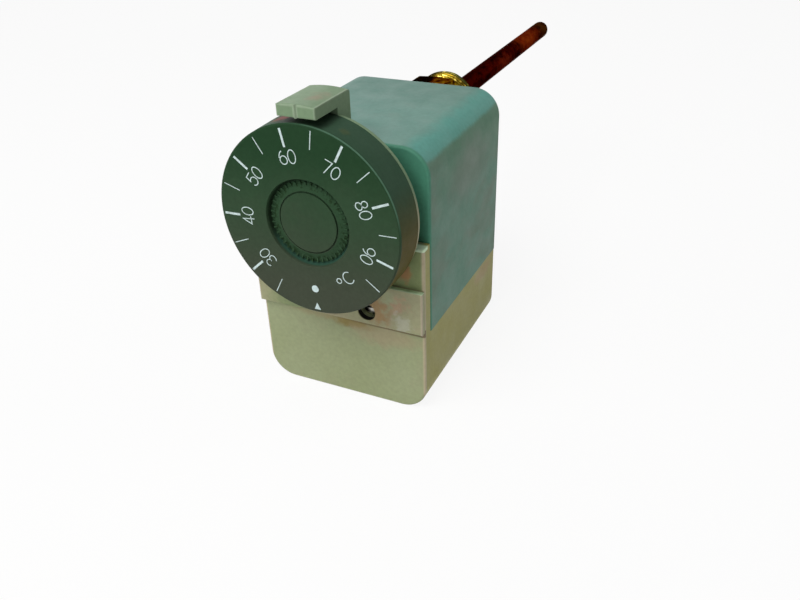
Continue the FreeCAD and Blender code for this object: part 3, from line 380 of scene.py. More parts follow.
# Painted shade on the wall of the ring's recess, all round
def recess_wall(tree, place):
    return product(tree, around(tree, place, 0, DIAL_Z, RECESS_R - 1.0, RECESS_R - 0.7),
                   around(tree, place, 0, DIAL_Z, RECESS_R + 1.6, RECESS_R + 1.1),
                   past(tree, place, "Y", DIAL_FACE_Y + 0.3, DIAL_FACE_Y + 1.0), share=0.8)


# Painted light on the lower part of the recess's wall, over its painted shade
def recess_low(tree, place):
    return product(tree, recess_wall(tree, place),
                   past(tree, place, "Z", DIAL_Z - 3, DIAL_Z - 8))


def ring_floor(tree, place):
    return product(tree, around(tree, place, 0, DIAL_Z, RECESS_R - 3.6, RECESS_R - 3.2),
                   around(tree, place, 0, DIAL_Z, RECESS_R - 0.4, RECESS_R - 0.7),
                   past(tree, place, "Y", DIAL_FACE_Y + 0.3, DIAL_FACE_Y + 0.8), share=0.8)


def ring_dirt(tree, place):
    grains = between(tree, noise(tree, place, 1.1, rough=0.6), 0.50, 0.60)
    return product(tree, ring_floor(tree, place), grains,
                   around(tree, place, 0, DIAL_Z, RECESS_R - 3.4, RECESS_R - 2.4))


# Masks on the fitting and the pocket, whose axis is at x 0 and z 0
def behind_thread(tree, place):
    # The hexagon and all that is in front of it
    return past(tree, place, "Y", 0.4, -0.4)


# Painted highlights in patches on the right of the hexagon
def hexagon_right(tree, place):
    lit_patches = between(tree, noise(tree, coords(tree, (1, 0.5, 1)), 2.2), 0.25, 0.75)
    return product(tree, behind_thread(tree, place),
                   past(tree, place, "X", -1.5, 2.5, sway=1.5, size=3),
                   past(tree, place, "Y", -9.5, -8.6), lit_patches)


# Painted shade on the left of the thread
def thread_left(tree, place):
    return product(tree, past(tree, place, "X", 1.0, -5.0, sway=2.0, size=3),
                   past(tree, place, "Y", -0.2, 0.2), share=0.9)


def thread_glints(tree, place):
    lumps = noise(tree, coords(tree, (1, 0.6, 1)), 1.3, detail=2, rough=0.5)
    return product(tree, between(tree, lumps, 0.50, 0.66), past(tree, place, "Y", 0.4, 1.0),
                   past(tree, place, "X", -4.0, 0.5, sway=2.0, size=3), share=0.85)


# Painted shade in the thread's roots
def thread_root(tree, place):
    return product(tree, around(tree, place, 0, 0, 10.2, 9.5),
                   past(tree, place, "Y", 0.2, 0.6))


def thread_end(tree, place):
    return past(tree, place, "Y", 5.2, 7.6, sway=1.5, size=3)


def pocket_tip(tree, place):
    return past(tree, place, "Y", 107.0, 119.0, sway=4.0, size=6)


# Materials. In millimetres: the sizes of drift, stains, specks and scuffs, and the bumps' depth.
DRIFT_SIZE = 24
STAIN_SIZE = 13
SPECK_SIZE = 1.1
SCUFF_SIZE = 6
BUMP_DEPTH = 0.02
mats = {}


def moulding(name, colour, darker, stain, stained, rough, grain=0.5, gloss=0.2, tints=()):
    # Moulded plastic with slow colour drift, stained patches, tints in their places and scuffed
    # gloss. Stained: the noise where stains start, where they are full and their share there.
    material, tree, shader = new_material(name)
    place = coords(tree)
    drift = ramp(tree, noise(tree, place, DRIFT_SIZE), [(0.36, darker), (0.62, colour)])
    start, full, share = stained
    lumps = noise(tree, place, STAIN_SIZE, detail=5, rough=0.62)
    tone = mix(tree, ramp(tree, lumps, [(start, 0.0), (full, share)]), drift, stain)
    for where, tint in tints:
        tone = mix(tree, where(tree, place), tone, tint)
    specks = noise(tree, place, SPECK_SIZE, detail=2)
    tone = mix(tree, 1, tone, ramp(tree, specks, [(0.3, 0.94), (0.7, 1.04)]), "MULTIPLY")
    tree.links.new(tone, shader.inputs["Base Color"])
    scuffs = noise(tree, place, SCUFF_SIZE, detail=4)
    tree.links.new(ramp(tree, scuffs, [(0.3, rough - 0.06), (0.7, rough + 0.1)]),
                   shader.inputs["Roughness"])
    shader.inputs["Specular IOR Level"].default_value = gloss
    bump(tree, shader, noise(tree, place, grain), 0.5)
    mats[name] = material


def metal(name, colour, darker, rough, streak=(1, 1, 1), size=2.0, edge=None, tints=()):
    # Metal with drifting tone, streaks along the tool's way, tints in their places and uneven
    # gloss. Edge: the colour at grazing angles.
    material, tree, shader = new_material(name)
    streaky = coords(tree, streak)
    lumps = noise(tree, streaky, size, detail=4, rough=0.6)
    tone = ramp(tree, lumps, [(0.3, darker), (0.68, colour)])
    place = coords(tree)
    for where, tint in tints:
        tone = mix(tree, where(tree, place), tone, tint)
    tree.links.new(tone, shader.inputs["Base Color"])
    scuffs = noise(tree, streaky, size * 0.6, detail=4)
    tree.links.new(ramp(tree, scuffs, [(0.3, rough - 0.08), (0.7, rough + 0.12)]),
                   shader.inputs["Roughness"])
    shader.inputs["Metallic"].default_value = 1
    if edge:
        shader.inputs["Specular Tint"].default_value = as_colour(edge)
    bump(tree, shader, noise(tree, streaky, size * 0.3), 0.4)
    mats[name] = material


moulding("grey_moulding", colour=(0.132, 0.270, 0.228), darker=(0.118, 0.246, 0.208),
         stain=(0.145, 0.240, 0.200), stained=(0.55, 0.75, 0.5), rough=0.5, tints=[
             (sides, (0.101, 0.226, 0.163)), (side_patches, (0.118, 0.194, 0.140)),
             (upper_rear, (0.078, 0.190, 0.118)), (top_rear, (0.108, 0.222, 0.185)),
             (cover_corner, (0.105, 0.335, 0.285)), (cover_front, (0.062, 0.220, 0.145)),
             # Yellowed patch on the right side
             (blotch((26.7, -40, -3), reach=15, share=0.7, sway=8, size=9,
                     stretch=(1, 1.5, 0.8)), (0.130, 0.185, 0.140))])
moulding("beige_moulding", colour=(0.300, 0.335, 0.192), darker=(0.282, 0.318, 0.172),
         stain=(0.315, 0.300, 0.190), stained=(0.56, 0.76, 0.5), rough=0.5, tints=[
             (sides, (0.325, 0.310, 0.105)),
             # Stains on the front wall below the band: middle, right and left
             (blotch((4.0, -73.3, -41.3), reach=5, share=0.8, sway=2.5, size=3,
                     stretch=(2.1, 1, 0.55)), (0.24, 0.170, 0.045)),
             (blotch((14.0, -73.3, -43.5), reach=7, share=0.6, sway=4, size=4,
                     stretch=(2.0, 1, 0.7)), (0.36, 0.285, 0.175)),
             (blotch((-9.0, -73.3, -40.5), reach=4, share=0.5, sway=2.5, size=3,
                     stretch=(2.5, 1, 0.6)), (0.31, 0.245, 0.13)),
             # Brown stains on the right side, low and high
             (blotch((26.5, -25.5, -44.0), reach=7, share=0.5, sway=4, size=4,
                     stretch=(1, 1.6, 0.6)), (0.38, 0.25, 0.14)),
             (blotch((26.5, -18.0, -30.0), reach=6, share=0.7, sway=5, size=4,
                     stretch=(1, 0.8, 1.5)), (0.40, 0.22, 0.12)),
             (wall_above_band, (0.215, 0.265, 0.115)), (front_edges, (0.50, 0.42, 0.29)),
             (wall_top, (0.66, 0.84, 0.60)),
             # Rust on the wall beside the dial
             (blotch((20.6, -73.3, -21.0), reach=3.5, share=0.85, sway=4, size=3,
                     stretch=(0.8, 1, 1.2)), (0.34, 0.17, 0.07)),
             (band_seam, (0.12, 0.075, 0.040))])
moulding("beige_plate", colour=(0.335, 0.325, 0.200), darker=(0.300, 0.310, 0.175),
         stain=(0.39, 0.30, 0.21), stained=(0.50, 0.70, 0.6), rough=0.5, tints=[
             (plate_above, (0.170, 0.256, 0.150)),
             # Dark stain on the tab
             (blotch((2.1, -79.6, 28.2), reach=4, share=0.6, sway=3, size=3,
                     stretch=(0.9, 1.2, 1)), (0.24, 0.17, 0.11)),
             # Rust, then paler marks, to the right of the screw
             (blotch((12.8, BAND_FRONT_Y, -33.5), reach=4.5, share=0.85, sway=5, size=2.5,
                     stretch=(1.2, 1, 1.5)), (0.33, 0.205, 0.095)),
             (blotch((19.5, BAND_FRONT_Y, -31.0), reach=4, share=0.75, sway=5, size=2.5),
              (0.42, 0.28, 0.18)),
             (blotch((20.5, BAND_FRONT_Y, -36.5), reach=3.5, share=0.7, sway=5, size=2.5,
                     stretch=(1, 1, 1.3)), (0.42, 0.42, 0.33)),
             (blotch((16.0, BAND_FRONT_Y, -29.0), reach=3, share=0.6, sway=4, size=2.0,
                     stretch=(1.6, 1, 0.7)), (0.35, 0.40, 0.24)),
             # Painted shadow of the dial: the band's left half darker and greener
             (blotch((-15.0, BAND_FRONT_Y, -37.0), reach=10, share=0.95, sway=4, size=5),
              (0.210, 0.26, 0.125)),
             (tab_edges, (0.28, 0.36, 0.25)), (band_edges, (0.48, 0.42, 0.31)),
             (band_top, (0.50, 0.66, 0.42)), (screw_hole, (0.004, 0.004, 0.003))])
moulding("dial_moulding", colour=(0.030, 0.064, 0.032), darker=(0.025, 0.056, 0.027),
         stain=(0.040, 0.060, 0.036), stained=(0.52, 0.76, 0.5), rough=0.58, gloss=0.06, tints=[
             (dial_high_part, (0.015, 0.046, 0.019)), (dial_low_part, (0.050, 0.061, 0.041)),
             (dial_skirt, (0.034, 0.074, 0.044)), (dial_skirt_low, (0.085, 0.066, 0.012)),
             (under_tab, (0.003, 0.006, 0.003)), (dial_edge, (0.090, 0.185, 0.125)),
             (ring_floor, (0.024, 0.060, 0.028)), (ring_dirt, (0.010, 0.026, 0.008)),
             (recess_wall, (0.006, 0.014, 0.006)), (recess_low, (0.032, 0.088, 0.060)),
             # Red smear left of the tab and a light speck right of it
             (blotch((-7.4, -81.2, DIAL_Z + 25.2), reach=4, share=0.85, sway=2, size=3),
              (0.16, 0.040, 0.036)),
             (blotch((10.4, -82.5, DIAL_Z + 24.3), reach=1.9, share=0.6, sway=0.8, size=1.5),
              (0.062, 0.084, 0.036))])
moulding("switch_moulding", colour=(0.016, 0.016, 0.018), darker=(0.010, 0.010, 0.011),
         stain=(0.02, 0.02, 0.02), stained=(0.55, 0.75, 0.4), rough=0.40)
moulding("plunger_moulding", colour=(0.55, 0.50, 0.38), darker=(0.48, 0.43, 0.32),
         stain=(0.42, 0.35, 0.25), stained=(0.55, 0.75, 0.4), rough=0.40)
moulding("clamp_moulding", colour=(0.11, 0.11, 0.11), darker=(0.08, 0.08, 0.08),
         stain=(0.13, 0.12, 0.11), stained=(0.55, 0.75, 0.4), rough=0.45)
moulding("black_rubber", colour=(0.018, 0.018, 0.018), darker=(0.010, 0.010, 0.010),
         stain=(0.03, 0.03, 0.028), stained=(0.5, 0.75, 0.5), rough=0.68, grain=0.3)
metal("plated_screw", colour=(0.42, 0.39, 0.31), darker=(0.16, 0.14, 0.10), rough=0.30,
      size=1.2, edge=(0.30, 0.28, 0.22), tints=[
          # The front screw's head: painted shade over it, down in its hole, and painted glints
          # at two places
          (blotch((SCREW.x, screw_low.y, SCREW.z), reach=14, share=1.0, sway=0, size=2,
                  stretch=(1, 0.3, 1)), (0.004, 0.004, 0.003)),
          (blotch((9.7, screw_low.y, -35.6), reach=1.6, share=1.0, sway=0.4, size=1.0),
           (0.95, 0.92, 0.82)),
          (blotch((8.5, screw_low.y, -37.3), reach=1.4, share=1.0, sway=0.2, size=1.0,
                  stretch=(1.4, 1, 0.5)), (0.95, 0.92, 0.82))])
metal("spring_steel", colour=(0.30, 0.30, 0.31), darker=(0.18, 0.18, 0.19), rough=0.30,
      size=0.8)
metal("bright_steel", colour=(0.56, 0.56, 0.56), darker=(0.42, 0.42, 0.42), rough=0.25,
      streak=(1, 6, 1), size=1.0)
metal("plain_brass", colour=(0.72, 0.50, 0.17), darker=(0.52, 0.34, 0.10), rough=0.28,
      streak=(1, 4, 1), size=1.2)
metal("terminal_brass", colour=(0.70, 0.60, 0.34), darker=(0.55, 0.46, 0.24), rough=0.30,
      size=1.0)
metal("plated_sheet", colour=(0.50, 0.48, 0.40), darker=(0.34, 0.33, 0.27), rough=0.36,
      streak=(1, 1, 3), size=5.0)
metal("capsule_steel", colour=(0.52, 0.52, 0.50), darker=(0.40, 0.40, 0.38), rough=0.30,
      size=3.0)
metal("bright_copper", colour=(0.66, 0.28, 0.15), darker=(0.45, 0.17, 0.09), rough=0.32,
      streak=(1, 0.3, 1), size=1.5)
metal("fitting_brass", colour=(0.17, 0.115, 0.008), darker=(0.045, 0.030, 0.003), rough=0.2,
      size=2.6, edge=(0.30, 0.21, 0.05), tints=[
          # Painted shade on the hexagon and all that is in front of it
          (behind_thread, (0.010, 0.007, 0.003)), (hexagon_right, (0.42, 0.29, 0.035)),
          (thread_left, (0.018, 0.017, 0.005)), (thread_glints, (0.62, 0.47, 0.09)),
          (thread_end, (0.040, 0.040, 0.010)), (thread_root, (0.020, 0.014, 0.002))])
metal("aged_copper", colour=(0.085, 0.009, 0.002), darker=(0.020, 0.002, 0.001), rough=0.40,
      streak=(1, 0.45, 1), size=2.4, edge=(0.22, 0.045, 0.018), tints=[
          # Brighter patches, the larger towards the tip and the smaller halfway
          (blotch((0.5, 96.0, 1.0), reach=14, share=0.72, sway=8, size=4,
                  stretch=(0.7, 1.4, 0.7)), (0.25, 0.070, 0.014)),
          (blotch((2.5, 62.0, -1.0), reach=10, share=0.6, sway=6, size=3,
                  stretch=(0.5, 1.5, 0.5)), (0.17, 0.045, 0.018)),
          (pocket_tip, (0.078, 0.036, 0.008))])


def white_print():
    # Printed marks, a little worn
    material, tree, shader = new_material("white_print")
    tone = ramp(tree, noise(tree, coords(tree), 0.8),
                [(0.25, (0.38, 0.46, 0.44)), (0.55, (0.55, 0.68, 0.68))])
    tree.links.new(tone, shader.inputs["Base Color"])
    shader.inputs["Roughness"].default_value = 0.5
    mats["white_print"] = material


white_print()

for row in frame["record"]["subparts"]:
    mesh = nodes[row["node"]].data
    mesh.materials.clear()
    mesh.materials.append(mats[row["material_slot"]])


# Mesh helper
def to_object(name, bm, material, sharp_angle):
    bmesh.ops.recalc_face_normals(bm, faces=bm.faces)
    mesh = bpy.data.meshes.new(name)
    bm.to_mesh(mesh)
    bm.free()
    mesh.polygons.foreach_set("use_smooth", [True] * len(mesh.polygons))
    mesh.set_sharp_from_angle(angle=math.radians(sharp_angle))
    mesh.materials.append(mats[material])
    piece = bpy.data.objects.new(name, mesh)
    bpy.context.scene.collection.objects.link(piece)
    return piece


# Dial print. Turns are in degrees clockwise from the top, distances from the dial's axis.
FACE_SET = 0.03
PRINT_PROUD = 0.03
PRINT_SHARP_ANGLE = 35.0
SCALE_START = 25
SCALE_END = 95
SCALE_STEP = 5
NUMBER_EVERY = 10
SET_AT_TOP = 63.0
TURN_PER_DEGREE = 4.0
TICK_IN = 20.5
TICK_OUT = 25.3
MAJOR_WIDTH = 0.62
MINOR_WIDTH = 0.23
NUMBER_R = 18.0
DIGIT_STEP = 8.4
DIGIT_WIDTH = 2.15
DIGIT_HEIGHT = 3.5
STROKE = 0.25
SAME_POINT = 1e-6
LEAST_MITRE = 0.35
CAP_STEPS = 5
DEGREE_TURN = 150.8
DEGREE_AT = 16.95
DEGREE_R = 0.7
DEGREE_STEPS = 20
LETTER_TURN = 140.8
LETTER_AT = 17.3
LETTER_WIDTH = 2.9
LETTER_HEIGHT = 3.4
MARK_TURN = 178.0
DOT_AT = 18.9
DOT_R = 1.05
DOT_STEPS = 28
ARROW_TIP = 23.2
ARROW_HALF = 0.95


def arc(cx, cy, rx, ry, start, end, steps):
    points = []
    for i in range(steps + 1):
        turn = math.radians(start + (end - start) * i / steps)
        points.append((cx + rx * math.cos(turn), cy + ry * math.sin(turn)))
    return points


# Strokes of each character in a box one wide and one high, centred on the origin
GLYPHS = {
    "0": [arc(0, 0, 0.5, 0.5, 0, 360, 28)],
    "3": [arc(-0.02, 0.24, 0.42, 0.26, 150, -90, 18)
          + arc(-0.02, -0.26, 0.50, 0.26, 90, -150, 18)],
    "4": [[(0.22, -0.5), (0.22, 0.5), (-0.5, -0.22), (0.5, -0.22)]],
    "5": [[(0.42, 0.5), (-0.36, 0.5), (-0.42, 0.06)]
          + arc(-0.04, -0.16, 0.50, 0.33, 128, -148, 20)],
    "6": [arc(0, -0.19, 0.48, 0.31, 0, 360, 26), arc(0.35, -0.05, 0.85, 0.56, 170, 112, 10)],
    "7": [[(-0.48, 0.5), (0.48, 0.5), (-0.12, -0.5)]],
    "8": [arc(0, 0.25, 0.38, 0.25, 0, 360, 24), arc(0, -0.25, 0.48, 0.25, 0, 360, 26)],
    "9": [arc(0, 0.19, 0.48, 0.31, 0, 360, 26), arc(-0.35, 0.05, 0.85, 0.56, -10, -68, 10)],
    "C": [arc(0.06, 0, 0.52, 0.5, 48, 312, 24)],
}


def outward(turn):
    # Unit steps (x, z) outwards and clockwise at this turn
    angle = math.radians(turn)
    return (Vector((math.sin(angle), math.cos(angle))),
            Vector((math.cos(angle), -math.sin(angle))))


def on_face(bm, outline, depth):
    # Vertices over the dial's face from (x, z) points about its axis
    return [bm.verts.new(Vector((p.x, DIAL_FACE_Y - depth, DIAL_Z + p.y)) * MM)
            for p in outline]


def plate(bm, outline):
    top = on_face(bm, outline, PRINT_PROUD)
    low = on_face(bm, outline, -FACE_SET)
    count = len(outline)
    for i in range(count):
        j = (i + 1) % count
        bm.faces.new((top[i], top[j], low[j], low[i]))
    bm.faces.new(list(reversed(top)))
    bm.faces.new(low)


def cap(centre, start):
    # Half circle from the start point round the centre, clockwise
    arm = start - centre
    points = []
    for i in range(1, CAP_STEPS):
        turn = -math.pi * i / CAP_STEPS
        points.append(centre + Vector((arm.x * math.cos(turn) - arm.y * math.sin(turn),
                                       arm.x * math.sin(turn) + arm.y * math.cos(turn))))
    return points


def ribbon(bm, line, width, round_ends=True):
    # Flat band along the line, a little proud of the dial's face
    closed = (line[0] - line[-1]).length < SAME_POINT
    points = line[:-1] if closed else list(line)
    count = len(points)
    left, right = [], []
    for i, point in enumerate(points):
        ways = []
        if closed or i > 0:
            ways.append((point - points[i - 1]).normalized())
        if closed or i < count - 1:
            ways.append((points[(i + 1) % count] - point).normalized())
        way = sum(ways, Vector((0, 0))).normalized()
        across = Vector((-way.y, way.x))
        stretch = 1 / max(LEAST_MITRE, across.dot(Vector((-ways[0].y, ways[0].x))))
        left.append(point + across * (width / 2 * stretch))
        right.append(point - across * (width / 2 * stretch))
    if closed:
        lt, lb, rt, rb = [on_face(bm, side, depth) for side in (left, right)
                          for depth in (PRINT_PROUD, -FACE_SET)]
        for i in range(count):
            j = (i + 1) % count
            bm.faces.new((lt[i], lt[j], rt[j], rt[i]))
            bm.faces.new((lb[j], lb[i], rb[i], rb[j]))
            bm.faces.new((lt[j], lt[i], lb[i], lb[j]))
            bm.faces.new((rt[i], rt[j], rb[j], rb[i]))
        return
    outline = list(left)
    if round_ends:
        outline += cap(points[-1], left[-1])
    outline += list(reversed(right))
    if round_ends:
        outline += cap(points[0], right[0])
    plate(bm, outline)


def glyph(bm, character, turn, radius, width, height, tops_out=True):
    out, clockwise = outward(turn)
    up = out if tops_out else -out
    right = clockwise if tops_out else -clockwise
    for line in GLYPHS[character]:
        ribbon(bm, [out * radius + right * (u * width) + up * (v * height) for u, v in line],
               STROKE)


def dial_print():
    bm = bmesh.new()
    for value in range(SCALE_START, SCALE_END + 1, SCALE_STEP):
        turn = (value - SET_AT_TOP) * TURN_PER_DEGREE
        out = outward(turn)[0]
        major = value % NUMBER_EVERY == 0
        ribbon(bm, [out * TICK_IN, out * TICK_OUT], MAJOR_WIDTH if major else MINOR_WIDTH, False)
        if major:
            for character, side in zip(str(value), (-0.5, 0.5)):
                glyph(bm, character, turn + side * DIGIT_STEP, NUMBER_R,
                      DIGIT_WIDTH, DIGIT_HEIGHT)
    out = outward(DEGREE_TURN)[0]
    ribbon(bm, [out * DEGREE_AT + Vector(p)
                for p in arc(0, 0, DEGREE_R, DEGREE_R, 0, 360, DEGREE_STEPS)], STROKE)
    glyph(bm, "C", LETTER_TURN, LETTER_AT, LETTER_WIDTH, LETTER_HEIGHT, tops_out=False)
    out, clockwise = outward(MARK_TURN)
    steps = [2 * math.pi * i / DOT_STEPS for i in range(DOT_STEPS)]
    plate(bm, [out * DOT_AT + Vector((DOT_R * math.cos(a), DOT_R * math.sin(a)))
               for a in steps])
    foot = out * TICK_OUT
    plate(bm, [out * ARROW_TIP, foot - clockwise * ARROW_HALF, foot + clockwise * ARROW_HALF])
    piece = to_object("dial_print", bm, "white_print", PRINT_SHARP_ANGLE)
    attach(piece, "dial")


dial_print()


# Screw-in fitting, turned about the Y axis
HEX_FLATS = 21.0
HEX_FRONT = -9.0
HEX_END_MORE = 0.15  # How far each end's circle stands outside the thread's crests
HEX_CHAMFER_SLOPE = 1.75
HEX_LEVELS = (0, 0.05, 0.15, 0.3, 0.5, 0.7, 0.9)
HEX_STEPS = 288
GROOVE_FRONT = HEX_FRONT - 1.5
COLLAR_R = 9.8
COLLAR_REAR = HEX_FRONT - 1.6
COLLAR_REAR_CHAMFER = 0.3
COLLAR_FRONT = -15.9
COLLAR_FRONT_CHAMFER = 0.5
COLLAR_GROOVE = 0.9
NECK_R = 8.0
NECK_FRONT = fitting_low.y
NECK_CHAMFER = 0.4
OVERLAP = 0.4
THREAD_R = 10.48
THREAD_DEPTH = 1.16
THREAD_PITCH = 1.814
THREAD_START = 0.3
THREAD_END = 9.25
THREAD_RUN_IN = 0.8
THREAD_ROWS_A_TURN = 16
THREAD_STEPS = 120
THREAD_ROOT = 0.12  # Share of half a pitch that is flat root
THREAD_FLANK = 0.76  # Share of half a pitch that rises
LEAD_IN_DEPTH = 0.9
LEAD_IN_SLOPE = 1.1
# Points of the rounded end face: radius past the bore, and y past the thread's end
END_FACE = ((2.0, 0), (1.75, 0.35), (1.1, 0.8), (0.35, 1.0), (0, 1.0))
BORE_R = 3.55
TURNED_STEPS = 96
FITTING_SHARP_ANGLE = 28
WELD = 1e-7


def ring_at(radius, y, steps):
    points = []
    for i in range(steps):
        angle = 2 * math.pi * i / steps
        points.append((radius * math.sin(angle), y, radius * math.cos(angle)))
    return points


def closed_skin(bm, sections):
    # Skin over closed loops of points, in order, and from the last loop back to the first
    loops = [[bm.verts.new(Vector(p) * MM) for p in section]
             for section in sections + sections[:1]]
    count = len(loops[0])
    for lower, upper in zip(loops, loops[1:]):
        for i in range(count):
            j = (i + 1) % count
            bm.faces.new((lower[i], lower[j], upper[j], upper[i]))
    bmesh.ops.remove_doubles(bm, verts=bm.verts, dist=WELD)


def turned(bm, outline):
    # Closed solid turned about the pocket's axis from (radius, y) points
    closed_skin(bm, [ring_at(r, y, TURNED_STEPS) for r, y in outline])


def hexagon(bm):
    # Six flats with both ends turned off to a circle, bored through
    places = [HEX_FRONT + v for v in HEX_LEVELS] + [-v for v in reversed(HEX_LEVELS)]
    sections = []
    for y in places:
        limit = THREAD_R + HEX_END_MORE + min(y - HEX_FRONT, -y) * HEX_CHAMFER_SLOPE
        section = []
        for i in range(HEX_STEPS):
            angle = 2 * math.pi * i / HEX_STEPS
            within = (angle + math.pi / 6) % (math.pi / 3) - math.pi / 6
            radius = min(HEX_FLATS / 2 / math.cos(within), limit)
            section.append((radius * math.sin(angle), y, radius * math.cos(angle)))
        sections.append(section)
    bores = [ring_at(BORE_R, y, HEX_STEPS) for y in (places[-1], places[0])]
    closed_skin(bm, sections + bores)


def thread(bm):
    # Rounded helical ridge that starts out of the relief behind the hexagon and ends in a turned
    # lead-in
    count = int(THREAD_END / THREAD_PITCH * THREAD_ROWS_A_TURN)
    root_r = THREAD_R - THREAD_DEPTH
    sections = [ring_at(r, -OVERLAP, THREAD_STEPS) for r in (BORE_R, root_r)]
    for k in range(count + 1):
        y = THREAD_END * k / count
        fade = min(1.0, max(0.0, (y - THREAD_START) / THREAD_RUN_IN))
        lead_in = THREAD_R - LEAD_IN_DEPTH + (THREAD_END - y) * LEAD_IN_SLOPE
        section = []
        for i in range(THREAD_STEPS):
            angle = 2 * math.pi * i / THREAD_STEPS
            phase = (y / THREAD_PITCH - i / THREAD_STEPS) % 1.0
            ridge = min(1.0, max(0.0, (abs(phase * 2 - 1) - THREAD_ROOT) / THREAD_FLANK))
            radius = min(root_r + THREAD_DEPTH * ridge * ridge * (3 - 2 * ridge) * fade, lead_in)
            section.append((radius * math.sin(angle), y, radius * math.cos(angle)))
        sections.append(section)
    for more_r, more_y in END_FACE:
        sections.append(ring_at(BORE_R + more_r, THREAD_END + more_y, THREAD_STEPS))
    closed_skin(bm, sections)


def fitting():
    bm = bmesh.new()
    hexagon(bm)
    groove_r = COLLAR_R - COLLAR_GROOVE
    turned(bm, [(BORE_R, COLLAR_FRONT), (COLLAR_R - COLLAR_FRONT_CHAMFER, COLLAR_FRONT),
                (COLLAR_R, COLLAR_FRONT + COLLAR_FRONT_CHAMFER),
                (COLLAR_R, COLLAR_REAR - COLLAR_REAR_CHAMFER),
                (COLLAR_R - COLLAR_REAR_CHAMFER, COLLAR_REAR), (groove_r, GROOVE_FRONT),
                (groove_r, HEX_FRONT + OVERLAP), (BORE_R, HEX_FRONT + OVERLAP)])
    turned(bm, [(BORE_R, NECK_FRONT), (NECK_R - NECK_CHAMFER, NECK_FRONT),
                (NECK_R, NECK_FRONT + NECK_CHAMFER),
                (NECK_R, COLLAR_FRONT + OVERLAP), (BORE_R, COLLAR_FRONT + OVERLAP)])
    thread(bm)
    piece = to_object("screw_in_fitting", bm, "fitting_brass", FITTING_SHARP_ANGLE)
    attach(piece, "case")
    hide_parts("brass_fitting")


fitting()


# Floor, surroundings, lights and camera, in metres
FLOOR_SIZE = 4.0
FLOOR_DROP = 0.0001
FLOOR_COLOUR = (0.95, 0.95, 0.95)
FLOOR_ROUGH = 0.9
WHITE_SHARE = 0.9
WORLD_COLOUR = (0.95, 0.98, 1.0)
WORLD_STRENGTH = 0.07
WHITE = (1, 1, 1, 1)


def seen_directly(tree):
    # 1 for rays from the camera, straight, through a clear face or off a glossy one
    rays = tree.nodes.new("ShaderNodeLightPath").outputs
    direct = math_node(tree, "MAXIMUM", rays["Is Camera Ray"], rays["Is Transmission Ray"])
    return math_node(tree, "MAXIMUM", direct, rays["Is Glossy Ray"])


def pick(tree, fac, first, second, output):
    # The first shader where fac is 0 and the second where it is 1, into this output node
    node = tree.nodes.new("ShaderNodeMixShader")
    for socket, value in zip(node.inputs, (fac, first, second)):
        tree.links.new(value, socket)
    tree.links.new(node.outputs["Shader"], tree.nodes[output].inputs["Surface"])


def floor():
    bm = bmesh.new()
    bmesh.ops.create_grid(bm, x_segments=1, y_segments=1, size=FLOOR_SIZE)
    bmesh.ops.translate(bm, verts=bm.verts, vec=(0, 0, base_low.z * MM - FLOOR_DROP))
    mesh = bpy.data.meshes.new("floor")
    bm.to_mesh(mesh)
    bm.free()
    piece = bpy.data.objects.new("floor", mesh)
    bpy.context.scene.collection.objects.link(piece)
    material, tree, shader = new_material("floor")
    shader.inputs["Base Color"].default_value = as_colour(FLOOR_COLOUR)
    shader.inputs["Roughness"].default_value = FLOOR_ROUGH
    glow = add(tree, "ShaderNodeEmission", Color=WHITE, Strength=1.0)
    pick(tree, product(tree, seen_directly(tree), share=WHITE_SHARE), shader.outputs["BSDF"],
         glow.outputs["Emission"], "Material Output")
    mesh.materials.append(material)


def surroundings():
    world = bpy.data.worlds.new("world")
    bpy.context.scene.world = world
    world.use_nodes = True
    tree = world.node_tree
    dim = tree.nodes["Background"]
    dim.inputs["Color"].default_value = as_colour(WORLD_COLOUR)
    dim.inputs["Strength"].default_value = WORLD_STRENGTH
    white = add(tree, "ShaderNodeBackground", Color=WHITE, Strength=1.0)
    pick(tree, seen_directly(tree), dim.outputs["Background"], white.outputs["Background"],
         "World Output")


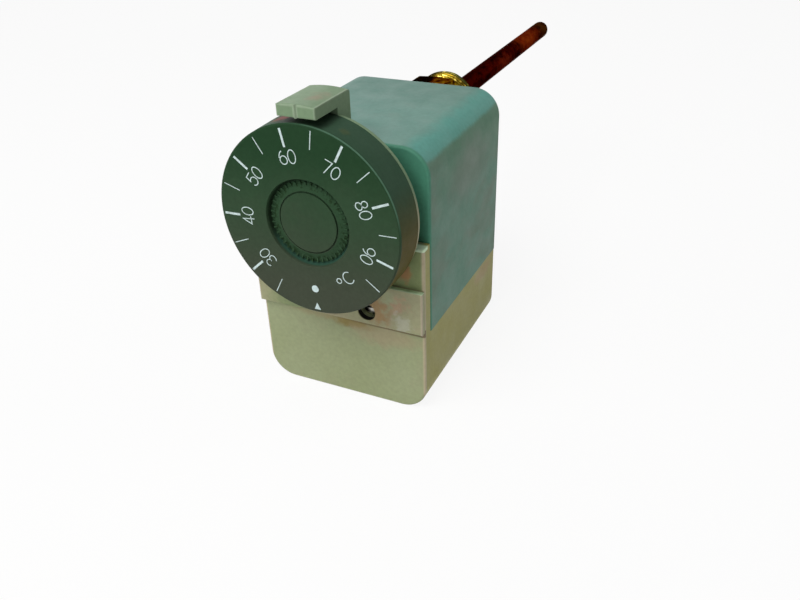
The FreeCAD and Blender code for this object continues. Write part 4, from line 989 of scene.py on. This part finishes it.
LIT_POINT = Vector((0, -0.04, -0.03))
LIGHTS = (  # Name, place, size, power and colour
    ("key", (-0.12, -0.58, 0.76), 0.6, 6.6, (1.0, 0.99, 0.97)),
    ("left", (-0.70, -0.70, 0.35), 0.5, 1.4, (1, 1, 1)),
    ("top", (0.0, -0.05, 1.0), 0.5, 0.6, (1, 1, 1)),
    ("right_rear", (0.75, 0.45, 0.40), 0.5, 1.35, (1.0, 0.97, 0.92)),
    ("front_low", (0.0, -0.95, 0.25), 0.5, 1.2, (1, 1, 1)),
    ("left_rear", (-0.60, 0.65, 0.40), 0.5, 0.8, (1, 1, 1)),
)


def area_light(name, place, size, power, colour):
    light = bpy.data.lights.new(name, "AREA")
    light.shape = "DISK"
    light.size = size
    light.energy = power
    light.color = colour
    lamp = bpy.data.objects.new(name, light)
    lamp.location = place
    lamp.rotation_euler = (LIT_POINT - Vector(place)).to_track_quat("-Z", "Y").to_euler()
    bpy.context.scene.collection.objects.link(lamp)


CAMERA_PLACE = Vector((0.098672, -0.237642, 0.08155))
CAMERA_RIGHT = Vector((0.9069789, 0.4202799, -0.0274592))
CAMERA_FORWARD = Vector((-0.3717084, 0.7680935, -0.5214071))
CAMERA_LENS = 34.887  # Millimetres, like the sensor's width
SENSOR_WIDTH = 36.0
CLIP_START = 0.01


def photo_camera():
    data = bpy.data.cameras.new("camera")
    data.sensor_width = SENSOR_WIDTH
    data.lens = CAMERA_LENS
    data.clip_start = CLIP_START
    camera = bpy.data.objects.new("camera", data)
    bpy.context.scene.collection.objects.link(camera)
    forward = CAMERA_FORWARD.normalized()
    right = (CAMERA_RIGHT - forward * CAMERA_RIGHT.dot(forward)).normalized()
    up = right.cross(forward)
    rotation = Matrix((right, up, -forward)).transposed().to_4x4()
    camera.matrix_world = Matrix.Translation(CAMERA_PLACE) @ rotation
    bpy.context.scene.camera = camera


floor()
for row in LIGHTS:
    area_light(*row)
surroundings()
photo_camera()

bpy.context.scene.view_settings.view_transform = "Standard"
